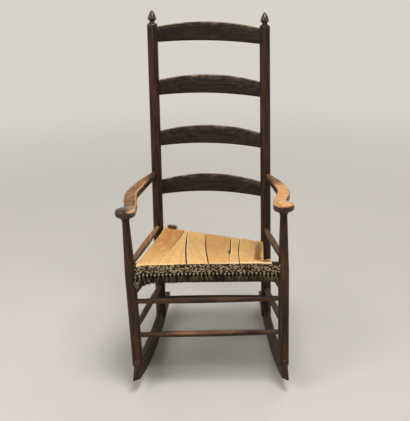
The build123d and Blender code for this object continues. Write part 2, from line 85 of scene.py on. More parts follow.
def share(name, about, default):
    """A number from 0 to 1."""
    return bpy.props.FloatProperty(
        name=name, description=about, default=default, min=0.0, max=1.0, subtype="FACTOR")


def colour(name, about, red, green, blue):
    """A colour written as it is read on a screen, from 0 to 255, and kept as linear light."""
    linear = [((value / 255 + 0.055) / 1.055) ** 2.4 for value in (red, green, blue)]
    return bpy.props.FloatVectorProperty(
        name=name, description=about, default=linear, size=3, min=0.0, max=1.0, subtype="COLOR")


class ChairWoodSettings(bpy.types.PropertyGroup):
    """Finishes of the wood."""

    black_brown: colour("Black Brown", "Old dark stain on posts, slats and rockers", 48, 33, 20)
    warm_brown: colour("Warm Brown", "Stain rubbed thin", 90, 61, 38)
    bare_brown: colour("Bare Brown", "Wood rubbed bare by hands and feet", 152, 108, 74)
    slat_brown: colour("Slat Brown", "Old dark stain on the slats", 46, 34, 28)
    # Dust with a painted highlight on the slats' upper edges, and the painted light haze under them
    dust_and_sheen_grey: colour("Dust Grey", "Dust on the upper edges of the slats", 138, 120, 100)
    arm_tan: colour("Arm Tan", "Worn top of the right arm", 220, 168, 108)
    arm_orange: colour("Arm Orange", "Figure in the worn top of the right arm", 180, 120, 66)
    left_tan: colour("Left Tan", "Worn top of the left arm", 152, 108, 64)
    left_orange: colour("Left Orange", "Figure in the worn top of the left arm", 104, 64, 32)
    gloss: share("Gloss", "Polish of the old finish", 0.45)


class ChairSeatSettings(bpy.types.PropertyGroup):
    """The split hide seat and the padding under it."""

    thickness: length("Thickness", "Thickness of the hide", 2.0 * MM)
    sag: length("Sag", "Depth of the hollow in the seat", 5 * MM)
    edge_curl: length("Edge Curl", "How far a split edge has curled up", 2.2 * MM)
    right_curl: length("Right Curl", "How far the free right edge has curled up", 11 * MM)
    # Light Hide is the lighter tone, towards the front and on the lighter strips
    light_hide: colour("Light Hide", "Clean stretched hide", 233, 187, 118)
    tan_hide: colour("Tan Hide", "Main colour of the hide", 201, 153, 84)
    stained_hide: colour("Stained Hide", "Old blotches", 182, 116, 54)
    # Painted shade in the right fold and along the narrow crack, and the stain round the hole
    fold_shade_and_stain_hide: colour("Folded Hide", "Dirt in folds and round the hole", 112, 78, 26)
    # Rubbed pale front edge, and painted highlight on the raised edges of the splits
    rubbed_and_highlit_hide: colour("Rubbed Hide", "Pale edges that are rubbed and cracked", 236, 208, 164)
    padding_brown: colour("Padding Brown", "Old stuffing", 108, 92, 58)
    # The lining's dark tone is painted shade seen through the splits of the hide
    lining_shade_brown: colour("Lining Brown", "Cloth under the hide", 50, 40, 30)


class ChairTrimSettings(bpy.types.PropertyGroup):
    """The woven band and the fringe on the front rail."""

    stitch_pitch: length("Stitch Pitch", "Distance between stitches along the band", 3.5 * MM)
    loop_pitch: length("Loop Pitch", "Distance between the gathered loops of the fringe", 10.6 * MM)
    fringe_drop: length("Fringe Drop", "Length of the fringe below the band", 27.5 * MM)
    cream_yarn: colour("Cream Yarn", "Light yarn", 206, 186, 147)
    olive_yarn: colour("Olive Yarn", "Middle yarn", 103, 83, 50)
    dark_yarn: colour("Dark Yarn", "Dark yarn", 40, 30, 19)


class ChairStageSettings(bpy.types.PropertyGroup):
    """Floor, light and camera."""

    floor_colour: colour("Floor", "Pale floor", 208, 203, 193)
    backdrop_colour: colour("Backdrop", "Pale surroundings far from the chair", 216, 211, 201)
    key_power: bpy.props.FloatProperty(
        name="Key Power", description="Power of the large soft lamp", default=53.0, unit="POWER")
    fill_power: bpy.props.FloatProperty(
        name="Fill Power", description="Power of the lamp on the other side", default=26.0, unit="POWER")
    back_power: bpy.props.FloatProperty(
        name="Back Power", description="Power of the lamp behind the chair", default=11.0, unit="POWER")
    sky_strength: bpy.props.FloatProperty(
        name="Sky Strength", description="Strength of the even light from all round", default=0.42)


# Node trees

class Signal:
    """An output socket that can be used in arithmetic, where each operation adds a node."""

    def __init__(self, graph, socket):
        self.graph = graph
        self.socket = socket

    def __add__(self, other):
        return self.graph.maths("ADD", self, other)

    def __radd__(self, other):
        return self.graph.maths("ADD", other, self)

    def __sub__(self, other):
        return self.graph.maths("SUBTRACT", self, other)

    def __rsub__(self, other):
        return self.graph.maths("SUBTRACT", other, self)

    def __mul__(self, other):
        return self.graph.maths("MULTIPLY", self, other)

    def __rmul__(self, other):
        return self.graph.maths("MULTIPLY", other, self)

    def __truediv__(self, other):
        return self.graph.maths("DIVIDE", self, other)

    def __pow__(self, other):
        return self.graph.maths("POWER", self, other)

    def __abs__(self):
        return self.graph.maths("ABSOLUTE", self)

    def span(self, low, high):
        """This value eased from 0 at low to 1 at high. With low above high it falls."""
        return self.graph.node(
            "ShaderNodeMapRange", {"interpolation_type": "SMOOTHSTEP"},
            {"Value": self, "From Min": low, "From Max": high})


class Graph:
    """A node tree with one method that adds any node."""

    def __init__(self, tree):
        self.tree = tree

    def node(self, kind, settings=(), inputs=(), output=0):
        """Adds a node, sets its settings and then its sockets, and gives one of its outputs."""
        made = self.tree.nodes.new(kind)
        for name, value in dict(settings).items():
            if name == "stops":
                self.set_stops(made.color_ramp, value)
            else:
                setattr(made, name, value)
        for key, value in dict(inputs).items():
            socket = made.inputs[key]
            if isinstance(value, Signal):
                self.tree.links.new(value.socket, socket)
            else:
                socket.default_value = value
        return Signal(self, made.outputs[output]) if made.outputs else made

    @staticmethod
    def set_stops(ramp, stops):
        """Gives a colour ramp its stops, each a place and a colour."""
        while len(ramp.elements) < len(stops):
            ramp.elements.new(1.0)
        for element, (place, tone) in zip(ramp.elements, stops):
            element.position = place
            element.color = (*tone[:3], 1.0)

    def maths(self, operation, *values):
        """A Math node on values."""
        return self.node("ShaderNodeMath", {"operation": operation}, dict(enumerate(values)))


class Finish(Graph):
    """A material with one main shader."""

    def __init__(self, name, roughness=0.5, **constants):
        self.material = bpy.data.materials.new(name)
        self.material.use_nodes = True
        super().__init__(self.material.node_tree)
        self.shader = self.tree.nodes["Principled BSDF"]
        self.shader.inputs["Roughness"].default_value = roughness
        for socket, value in constants.items():
            self.shader.inputs[socket.replace("_", " ")].default_value = value
        self.place = self.node("ShaderNodeTexCoord", output="Object")

    def feed(self, **signals):
        """Links signals to the shader's sockets."""
        for name, signal in signals.items():
            self.tree.links.new(signal.socket, self.shader.inputs[name.replace("_", " ")])

    def stretch(self, scale, turn=(0, 0, 0), move=(0, 0, 0)):
        """The place on the object, turned and then scaled along each axis."""
        turned = self.node("ShaderNodeMapping", {"vector_type": "POINT"},
                           {"Vector": self.place, "Rotation": turn, "Location": move})
        return self.node("ShaderNodeVectorMath", {"operation": "MULTIPLY"}, {0: turned, 1: scale})

    def noise(self, place, scale, detail=3.0, roughness=0.5, warp=0.0):
        """Soft noise, about 0.5 on average."""
        return self.node("ShaderNodeTexNoise", {}, {
            "Vector": place, "Scale": scale, "Detail": detail, "Roughness": roughness, "Distortion": warp})

    def mix(self, amount, first, second):
        """A colour between two colours."""
        return self.node("ShaderNodeMix", {"data_type": "RGBA"}, {
            0: amount, 6: paint(first), 7: paint(second)}, output=2)

    def ramp(self, value, stops):
        """A colour looked up in a list of stops."""
        return self.node("ShaderNodeValToRGB", {"stops": stops}, {"Fac": value})

    def axis(self, vector, name):
        """One coordinate of a vector."""
        return self.node("ShaderNodeSeparateXYZ", {}, {"Vector": vector}, output=name)

    def facing(self, name):
        """One coordinate of the surface's own direction."""
        return self.axis(self.node("ShaderNodeNewGeometry", output="Normal"), name)

    def named(self, name):
        """A value kept on the mesh under a name."""
        return self.node("ShaderNodeAttribute", {"attribute_name": name}, output="Fac")

    def emboss(self, height, distance, strength=1.0):
        """Feeds a height in metres times distance to the shader as a bump."""
        self.feed(Normal=self.node("ShaderNodeBump", {}, {
            "Height": height, "Distance": distance, "Strength": strength}))


def paint(tone):
    """A colour with its fourth number, or a signal as it is."""
    return tone if isinstance(tone, Signal) else (*tone[:3], 1.0)


class Recipe(Graph):
    """A Geometry Nodes tree with named sizes, which is run once into a plain mesh."""

    KINDS = {float: "NodeSocketFloat", int: "NodeSocketInt"}

    def __init__(self, name, **sizes):
        super().__init__(bpy.data.node_groups.new(name, "GeometryNodeTree"))
        self.values = {}
        faces = self.tree.interface
        faces.new_socket("Geometry", in_out="OUTPUT", socket_type="NodeSocketGeometry")
        for label, value in sizes.items():
            socket = faces.new_socket(label, in_out="INPUT", socket_type=self.KINDS[type(value)])
            self.values[socket.identifier] = value
        entry = self.tree.nodes.new("NodeGroupInput")
        self.size = {label: Signal(self, entry.outputs[label]) for label in sizes}

    def chance(self, low, high, seed):
        """A random number for each point."""
        return self.node("FunctionNodeRandomValue", {"data_type": "FLOAT"},
                         {2: low, 3: high, "Seed": seed}, output=1)

    def vector(self, x, y, z):
        """A vector from three values."""
        return self.node("ShaderNodeCombineXYZ", {}, {"X": x, "Y": y, "Z": z})

    def axis(self, name):
        """One coordinate of each point's place."""
        place = self.node("GeometryNodeInputPosition")
        return self.node("ShaderNodeSeparateXYZ", {}, {"Vector": place}, output=name)

    def strew(self, points, shape, turn, size, tone):
        """A shape on each point, turned and sized, with a tone kept for its finish."""
        laid = self.node("GeometryNodeInstanceOnPoints", {}, {
            "Points": points, "Instance": shape, "Scale": size,
            "Rotation": self.node("FunctionNodeEulerToRotation", {}, {"Euler": turn})})
        return self.node("GeometryNodeStoreNamedAttribute", {"data_type": "FLOAT", "domain": "INSTANCE"},
                         {"Geometry": laid, "Name": "tone", "Value": tone})

    def run(self, geometry, name, material, place=STANDING):
        """Makes the tree's result a plain mesh, puts it in its place and gives its object."""
        plain = self.node("GeometryNodeRealizeInstances", {}, {"Geometry": geometry})
        smooth = self.node("GeometryNodeSetShadeSmooth", {}, {"Geometry": plain})
        last = self.node("GeometryNodeSetMaterial", {}, {"Geometry": smooth, "Material": material})
        exit_node = self.tree.nodes.new("NodeGroupOutput")
        self.tree.links.new(last.socket, exit_node.inputs["Geometry"])
        piece = bpy.data.objects.new(name, bpy.data.meshes.new(name))
        bpy.context.scene.collection.objects.link(piece)
        recipe = piece.modifiers.new(name, "NODES")
        recipe.node_group = self.tree
        for identifier, value in self.values.items():
            recipe[identifier] = value
        shown = piece.evaluated_get(bpy.context.evaluated_depsgraph_get())
        piece.data = bpy.data.meshes.new_from_object(shown)
        piece.modifiers.remove(recipe)
        piece.data.transform(place)
        return piece


# Meshes

def add_piece(name, points, faces, material, place=STANDING):
    """A smooth piece from points in the upright measures of the chair."""
    mesh = bpy.data.meshes.new(name)
    mesh.from_pydata([tuple(point) for point in points], [], faces)
    mesh.transform(place)
    mesh.materials.append(material)
    mesh.shade_smooth()
    piece = bpy.data.objects.new(name, mesh)
    bpy.context.scene.collection.objects.link(piece)
    return piece


def loft(rings):
    """Points and faces of a closed skin over rings that have the same number of points."""
    count = len(rings[0])
    points = [point for ring in rings for point in ring]
    faces = []
    for start in range(0, len(points) - count, count):
        for step in range(count):
            after = (step + 1) % count
            faces.append((start + step, start + after, start + count + after, start + count + step))
    faces.append(tuple(reversed(range(count))))
    faces.append(tuple(range(len(points) - count, len(points))))
    return points, faces


def sheet_faces(total, columns):
    """Faces of an open sheet whose points are in rows of so many columns."""
    return [(start + step, start + step + 1, start + columns + step + 1, start + columns + step)
            for start in range(0, total - columns, columns) for step in range(columns - 1)]


def thicken(piece, thickness):
    """Gives a sheet its thickness, half on each side."""
    wall = piece.modifiers.new("thickness", "SOLIDIFY")
    wall.thickness = thickness
    wall.offset = 0.0


def vertex_places(mesh):
    """The places of a mesh's points, as rows of three numbers."""
    points = np.empty(len(mesh.vertices) * 3, np.float32)
    mesh.vertices.foreach_get("co", points)
    return points.reshape(-1, 3)


def rounded_ring(width, height, radius, steps=4):
    """Ring of (across, up) pairs round a rectangle with rounded corners, from its middle."""
    ring = []
    for corner, (side, level) in enumerate(((1, 1), (-1, 1), (-1, -1), (1, -1))):
        for step in range(steps + 1):
            angle = (corner + step / steps) * pi / 2
            ring.append((side * (width / 2 - radius) + radius * cos(angle),
                         level * (height / 2 - radius) + radius * sin(angle)))
    return ring


def ease(value, low, high):
    """0 below low, 1 above high, and smooth between."""
    part = np.clip((value - low) / (high - low), 0, 1)
    return part * part * (3 - 2 * part)


def ripple(seed, *places):
    """Smooth made-up unevenness, from -1 to 1, over places in metres."""
    source = np.random.default_rng(seed)
    total = 0
    for wave in range(6):
        turns = source.uniform(18, 60, len(places)) * (1 + 0.6 * wave)
        total = total + np.sin(sum(turn * place for turn, place in zip(turns, places))
                               + source.uniform(0, tau)) / (1 + 0.5 * wave)
    return total / 3.2


def settle(piece, slot, *nodes):
    """Makes a finished piece stand for CAD nodes and move with the chair."""
    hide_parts(*nodes)
    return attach(piece, "root")


# Wood finishes

def grain_scale(run):
    """Scale that draws noise out along one axis, the way the grain runs."""
    return tuple(0.055 if axis == run else 1.0 for axis in "XYZ")


def wood(name, run, settings, thin=0.35, bare=None, turn=(0, 0, 0), stained=1.0,
         polished_from=None, bare_tone=None, stain=None):
    """Old dark finish over wood whose grain runs along an axis, in black brown or another stain.
    thin is how much of the stain is rubbed thin, and stained how light it is. bare gives a mask,
    from the finish, of where the wood is rubbed bare, to bare_tone; on the upper sides of rails and slats
    this mask also holds painted light. Above the height polished_from
    the finish is glossy."""
    finish = Finish(name, roughness=0.45, Specular_IOR_Level=0.17, Coat_Roughness=0.2)
    along = finish.stretch(grain_scale(run), turn)
    grain = finish.noise(along, 170, 5.0, 0.6, 0.35)
    pores = finish.noise(along, 620, 2.0, 0.5).span(0.60, 0.74)
    cloud = finish.noise(finish.place, 13, 3.0, 0.55)
    rubbed = (finish.noise(finish.stretch(grain_scale(run), turn, (3, 1, 2)), 46, 4.0, 0.62)
              * 0.7 + cloud * 0.5).span(0.86 - 0.5 * thin, 1.02 - 0.4 * thin)
    stain = stain or settings.black_brown
    stain = finish.mix(grain.span(0.34, 0.66), [0.45 * stained * tone for tone in stain],
                       [1.6 * stained * tone for tone in stain])
    tone = finish.mix(rubbed * 0.75, stain, [stained * tone for tone in settings.warm_brown])
    scuff = finish.noise(finish.stretch(grain_scale(run), turn, (5, 2, 7)), 330, 2.0, 0.5).span(0.66, 0.73)
    tone = finish.mix(scuff * cloud.span(0.45, 0.65) * 0.4, tone, settings.bare_brown)
    polish = grain * 0.22 + cloud * 0.16 + (0.52 - 0.55 * settings.gloss)
    if bare:
        mask = bare(finish) * (0.55 + grain * 0.9)
        bare_tone = bare_tone or settings.bare_brown
        wood_tone = finish.mix(grain.span(0.36, 0.64), [0.45 * tone for tone in bare_tone],
                               [1.25 * tone for tone in bare_tone])
        tone = finish.mix(mask.span(0.12, 0.85), tone, wood_tone)
        polish = polish + mask * 0.12
    tone = finish.mix(pores * 0.55, tone, [0.35 * value for value in settings.black_brown])
    finish.feed(Base_Color=tone, Roughness=polish)
    if polished_from:
        glossy = finish.axis(finish.place, "Z").span(polished_from, polished_from + 15 * MM)
        finish.feed(Coat_Weight=glossy * (0.9 - cloud * 0.4))
    finish.emboss(grain * 0.7 - pores * 0.8 + cloud * 0.5, 0.35 * MM, 0.6)
    return finish.material


def dress(node, material):
    """Gives a CAD node's own object a finish."""
    mesh = NODES[node].data
    mesh.materials.clear()
    mesh.materials.append(material)


def rubbed_middle(half, reach, amount):
    """Mask of the bare middle of a rung that runs across the chair."""
    def mask(finish):
        across = abs(finish.axis(finish.place, "X"))
        return across.span(reach, half) * finish.facing("Z").span(-0.35, 0.6) * amount
    return mask


def rubbed_and_lit_top(amount):
    """Mask of the upper side of a rail, rubbed bare and lighter with painted light from above."""
    def mask(finish):
        return finish.facing("Z").span(-0.1, 0.8) * amount
    return mask


def dusty_and_lit_top(finish):
    """Mask of the rubbed and dusty upper edge of a slat with a painted highlight on it, and of the painted
    light haze on the face under it.
    """
    patch = finish.noise(finish.place, 30, 3.0, 0.6).span(0.3, 0.65)
    # Painted light haze over the upper part of the slat's face
    painted_light_haze = finish.named("level").span(0.4, 1.05) * (patch * 0.3 + 0.12)
    return finish.maths("MAXIMUM", finish.facing("Z").span(0.1, 0.7) * (patch * 0.5 + 0.35), painted_light_haze)


class CHAIR_OT_finish_frame(bpy.types.Operator):
    """Finish the posts, rungs and rails in old dark stain"""

    bl_idname = "chair.finish_frame"
    bl_label = "Finish Frame"

    def execute(self, context):
        settings = context.scene.chair_wood
        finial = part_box("slat_4")[1][2] - 10 * MM
        post = wood("dark_post_wood", "Z", settings, 0.42, turn=(LEAN, 0, 0), polished_from=finial)
        front_post = wood("front_post_wood", "Z", settings, 0.5, turn=(LEAN, 0, 0), stained=1.2)
        across = wood("dark_rail_wood", "X", settings, 0.3)
        front_rung = wood("front_rung_wood", "X", settings, 0.55, stained=1.35)
        worn_rung = wood("worn_rung_wood", "X", settings, 0.6, rubbed_middle(50 * MM, 165 * MM, 0.5))
        # The upper sides of the side rungs and seat rails are rubbed bare and lighter with painted light
        side_rung = wood("side_rung_wood", "Y", settings, 0.6, rubbed_and_lit_top(0.35))
        left_rail = wood("left_rail_wood", "Y", settings, 0.9, rubbed_and_lit_top(1.0))
        right_rail = wood("right_rail_wood", "Y", settings, 0.8, rubbed_and_lit_top(0.45))
        finishes = {
            post: ["back_post_left", "back_post_right"],
            front_post: ["front_post_left", "front_post_right"],
            across: ["seat_rail_front", "seat_rail_rear", "rear_stretcher", "rocker_pegs"],
            front_rung: ["front_stretcher_upper"],
            worn_rung: ["front_stretcher_lower"],
            side_rung: [f"side_stretcher_{level}_{side}"
                        for level in ("upper", "lower") for side in ("left", "right")],
            left_rail: ["seat_rail_left"],
            right_rail: ["seat_rail_right"],
        }
        for material, nodes in finishes.items():
            for node in nodes:
                dress(node, material)
        return {"FINISHED"}


# Slats

class CHAIR_OT_bend_slats(bpy.types.Operator):
    """Make the four bent slats with their softly rounded edges"""

    bl_idname = "chair.bend_slats"
    bl_label = "Bend Slats"

    half_width = 166 * MM
    bow = 40 * MM
    end_depth = 44 * MM
    upper_rise = 20 * MM
    lower_rise = 8 * MM
    thickness = 8 * MM
    rounding = 3.2 * MM
    lowest = 467 * MM
    reach = 461 * MM
    spacing_ratio = 1.02
    rake = radians(2.0)
    rake_height = 344 * MM

    def slat(self, name, material):
        """One slat in the middle of the back, with its lower corners at the level of the seat rails."""
        recipe = Recipe(
            name, Half=self.half_width, Bow=self.bow, Depth=self.end_depth, Upper=self.upper_rise,
            Lower=self.lower_rise, Thickness=self.thickness, Rounding=self.rounding)
        size = recipe.size
        arc = recipe.node("GeometryNodeCurveArc", {"mode": "POINTS"}, {
            "Resolution": 49, "Start": recipe.vector(size["Half"] * -1.0, 0.0, 0.0),
            "Middle": recipe.vector(0.0, size["Bow"], 0.0), "End": recipe.vector(size["Half"], 0.0, 0.0)})
        section = recipe.node("GeometryNodeCurvePrimitiveQuadrilateral", {}, {
            "Width": size["Thickness"], "Height": size["Depth"]})
        section = recipe.node("GeometryNodeFilletCurve", {"mode": "POLY"}, {
            "Curve": section, "Count": 4, "Radius": size["Rounding"]})
        board = recipe.node("GeometryNodeCurveToMesh", {}, {
            "Curve": arc, "Profile Curve": section, "Fill Caps": True})
        across = recipe.axis("X") / size["Half"]
        level = recipe.axis("Z") / size["Depth"] + 0.5
        arch = (1 - across * across) * (size["Lower"] + (size["Upper"] - size["Lower"]) * level)
        board = recipe.node("GeometryNodeStoreNamedAttribute", {"data_type": "FLOAT", "domain": "POINT"}, {
            "Geometry": board, "Name": "level", "Value": level})
        return recipe.run(recipe.node("GeometryNodeSetPosition", {}, {
            "Geometry": board, "Offset": recipe.vector(0.0, 0.0, arch)}), name, material)

    def height(self, index):
        """Height of a slat's ends above the seat rails. The spaces grow towards the top."""
        steps = [self.spacing_ratio**step for step in range(3)]
        return self.lowest + self.reach * sum(steps[:index]) / sum(steps) - self.rake_height

    def execute(self, context):
        settings = context.scene.chair_wood
        for index, stained in enumerate((0.8, 0.85, 0.75, 0.6)):
            node = f"slat_{index + 1}"
            material = wood(f"{node}_wood", "X", settings, 0.1, dusty_and_lit_top, stained=stained,
                            bare_tone=settings.dust_and_sheen_grey, stain=settings.slat_brown)
            height = self.height(index)
            raked = (Matrix.Translation((0, SEAT_DEPTH, self.rake_height))
                     @ Matrix.Rotation(-self.rake, 4, "X") @ Matrix.Translation((0, 0, height))
                     @ Matrix.Rotation(atan2(TWIST, self.half_width), 4, "Y"))
            piece = self.slat(f"bent_{node}", material)
            piece.data.transform(STANDING @ raked @ STANDING.inverted())
            settle(piece, "dark_wood", node)
        return {"FINISHED"}


# Arms

class CHAIR_OT_shape_arms(bpy.types.Operator):
    """Make the curved arms, with tops worn pale and round knobs over the front posts"""

    bl_idname = "chair.shape_arms"
    bl_label = "Shape Arms"

    height = 480 * MM
    thickness = 24 * MM
    rise = 17 * MM
    knob_places = {-1: 222.8 * MM, 1: 203 * MM}
    back_place = 171 * MM
    voxel = 1.3 * MM
    # Distance from the knob to the back, and the outer and inner edge off the straight line between them
    plan = ((0, 11, -27), (45, 15, -21), (95, 29, -8), (150, 38, 3.5),
            (200, 36, 2), (250, 30, 0.5), (300, 19, -2), (342, 9, -6.5))
    # Radius and height of the knob's outline, from its underside to the top of its dome
    knob = ((14, 0), (22.5, 1), (27.4, 5), (29, 11.5), (28.4, 17),
            (26, 21.6), (20.5, 24.6), (11, 26), (2, 26.4))
    knob_middle = 14 * MM

    def board(self, side):
        """Points and faces of the arm from the knob to the back post."""
        reach, outer, inner = (np.array(column) * MM for column in zip(*self.plan))
        slope = (self.rise - 2 * side * TWIST) / SEAT_DEPTH
        rings = []
        for y in np.linspace(reach[0], reach[-1], 61):
            straight = self.knob_places[side] + (self.back_place - self.knob_places[side]) * y / SEAT_DEPTH
            outside = straight + spline_at(y, reach, outer)
            inside = straight + spline_at(y, reach, inner)
            ring = rounded_ring(outside - inside, self.thickness, 6.5 * MM, 5)
            middle = (outside + inside) / 2
            low = self.height + side * TWIST + self.thickness / 2 + slope * y
            rings.append([(side * (middle + across), y, low + up) for across, up in ring])
        return loft(rings)

    def bun(self, side):
        """Points and faces of the knob."""
        rings = []
        middle = side * self.knob_places[side]
        low = self.height + side * TWIST
        for radius, up in self.knob:
            rings.append([(middle + radius * MM * cos(angle), radius * MM * sin(angle), low + up * MM)
                          for angle in np.linspace(0, tau, 40, endpoint=False)])
        return loft(rings)

    def merge(self, piece):
        """Joins the knob and the board into one skin with softly worn edges."""
        close = piece.modifiers.new("merge", "REMESH")
        close.mode = "VOXEL"
        close.voxel_size = self.voxel
        soften = piece.modifiers.new("soften", "SMOOTH")
        soften.factor = 0.5
        soften.iterations = 10
        shown = piece.evaluated_get(bpy.context.evaluated_depsgraph_get())
        piece.data = bpy.data.meshes.new_from_object(shown)
        piece.modifiers.clear()
        piece.data.shade_smooth()

    def execute(self, context):
        for node, side in (("arm_left", -1), ("arm_right", 1)):
            points, faces = self.board(side)
            more_points, more_faces = self.bun(side)
            start = len(points)
            faces = faces + [tuple(start + corner for corner in face) for face in more_faces]
            knob = STANDING @ Vector((side * self.knob_places[side], 0,
                                      self.height + side * TWIST + self.knob_middle))
            material = arm_finish(f"{node}_wood", context.scene.chair_wood, knob, side)
            piece = add_piece(f"worn_{node}", points + more_points, faces, material)
            outward(piece.data)
            self.merge(piece)
            settle(piece, "worn_wood", node)
        return {"FINISHED"}


def outward(mesh):
    """Turns all faces of closed shells outwards."""
    shells = bmesh.new()
    shells.from_mesh(mesh)
    bmesh.ops.recalc_face_normals(shells, faces=shells.faces)
    shells.to_mesh(mesh)
    shells.free()


def spline_at(value, places, heights):
    """Height of a smooth curve through some points, at a place."""
    slopes = np.gradient(heights, places)
    index = int(np.clip(np.searchsorted(places, value) - 1, 0, len(places) - 2))
    width = places[index + 1] - places[index]
    part = (value - places[index]) / width
    return ((2 * part**3 - 3 * part**2 + 1) * heights[index]
            + (part**3 - 2 * part**2 + part) * width * slopes[index]
            + (3 * part**2 - 2 * part**3) * heights[index + 1]
            + (part**3 - part**2) * width * slopes[index + 1])


def arm_finish(name, settings, knob, side):
    """Wood worn pale on top with a curly figure, dark on its sides and at the back, and glossy on the knob.
    The left arm is the darker one: its knob is worn only on the inner side, its inner side is lighter with
    painted light, and its inner top edge has a painted highlight."""
    left = side < 0
    finish = Finish(name, roughness=0.4, Coat_Roughness=0.12, Specular_IOR_Level=0.15)
    grain = finish.noise(finish.stretch(grain_scale("Y"), (LEAN, 0, 0)), 190, 5.0, 0.6, 0.5)
    cloud = finish.noise(finish.place, 24, 3.0, 0.55)
    curl = finish.noise(finish.stretch((0.5, 1.0, 0.5)), 130, 2.0, 0.5, 1.2)
    away = finish.node("ShaderNodeVectorMath", {"operation": "DISTANCE"}, {
        0: finish.place, 1: tuple(knob)}, output="Value") + (cloud - 0.5) * 14 * MM
    outer = (finish.axis(finish.place, "X") - knob.x) * side
    inward = finish.facing("X") * -side
    upward = finish.facing("Z") + (cloud - 0.5) * 0.35
    near = away.span(44 * MM, 28 * MM)
    pale, deep = ((settings.left_tan, settings.left_orange) if left
                  else (settings.arm_tan, settings.arm_orange))
    tan = finish.mix(curl.span(0.4, 0.62), deep, pale)
    tan = finish.mix(grain.span(0.62, 0.8) * 0.5, tan, deep)
    dark = finish.mix(grain.span(0.3, 0.75), [0.5 * tone for tone in settings.black_brown],
                      [0.8 * tone for tone in settings.warm_brown])
    worn = upward.span(0.3, 0.75)
    if left:
        worn = worn * (1 - near * outer.span(-16 * MM, 2 * MM)) * (1 - away.span(240 * MM, 320 * MM) * 0.75)
        # Painted light on the inner side of the left arm
        worn = worn + inward.span(0.5, 0.9) * away.span(250 * MM, 90 * MM) * 0.4
    else:
        worn = worn * (1 - away.span(165 * MM, 250 * MM) * 0.72)
    tone = finish.mix(worn.span(0.0, 1.0), dark, tan)
    if left:
        # Painted highlight along the inner top edge of the left arm
        line = inward.span(0.15, 0.5) * upward.span(0.25, 0.6) * away.span(300 * MM, 200 * MM)
        tone = finish.mix(line * 0.7, tone, settings.arm_tan)
    finish.feed(Base_Color=tone, Roughness=grain * 0.2 + cloud * 0.15 + 0.22 - near * 0.08,
                Coat_Weight=near * 0.45)
    finish.emboss(grain * 0.6 + curl * 0.5, 0.3 * MM, 0.5)
    return finish.material


# Rockers

class CHAIR_OT_saw_rockers(bpy.types.Operator):
    """Make the two rockers, sawn from boards, with edges rounded by wear"""

    bl_idname = "chair.saw_rockers"
    bl_label = "Saw Rockers"

    radius = 940 * MM
    low_point = 118 * MM
    depth = 56 * MM
    thickness = 16 * MM
    front_overhang = 42 * MM
    tail_overhang = 116 * MM
    tip_depth = 9 * MM
    tip_thickness = 4 * MM
    tail_depth = 28 * MM
    shoulder = 17.2 * MM
    front_half = 203 * MM
    back_half = 166 * MM

    def underside(self, reach):
        """Height of the rocker's arc at a distance behind the front post."""
        return self.radius - sqrt(self.radius**2 - (reach - self.low_point) ** 2)

    def top(self, reach, back):
        """Height of the upper edge: deep between the posts, low at the tip, thinner at the tail."""
        stops = (-self.front_overhang, -self.shoulder, back + self.shoulder, back + self.tail_overhang)
        depths = (self.tip_depth, self.depth, self.depth, self.tail_depth)
        return self.underside(reach) + float(np.interp(reach, stops, depths))

    def execute(self, context):
        material = wood("rocker_wood", "Y", context.scene.chair_wood, 0.35, turn=(LEAN, 0, 0))
        toe = atan2(self.front_half - self.back_half, SEAT_DEPTH)
        back = SEAT_DEPTH / cos(toe)
        for node, side in (("rocker_left", -1), ("rocker_right", 1)):
            place = Matrix.Translation((side * self.front_half, 0, 0)) @ Matrix.Rotation(side * toe, 4, "Z")
            rings = []
            for reach in np.linspace(-self.front_overhang, back + self.tail_overhang, 121):
                low = self.underside(reach)
                high = self.top(reach, back)
                wide = float(np.interp(reach, (-self.front_overhang, -self.shoulder),
                                       (self.tip_thickness, self.thickness)))
                ring = rounded_ring(wide, high - low, min(2.6 * MM, 0.4 * wide))
                outer = side * (self.thickness - wide) / 2
                rings.append([place @ Vector((outer + across, reach, (low + high) / 2 + up))
                              for across, up in ring])
            piece = add_piece(f"sawn_{node}", *loft(rings), material)
            for vertex in piece.data.vertices:
                vertex.co.z = max(vertex.co.z, 0.0)
            outward(piece.data)
            settle(piece, "dark_wood", node)
        return {"FINISHED"}


# Hide seat

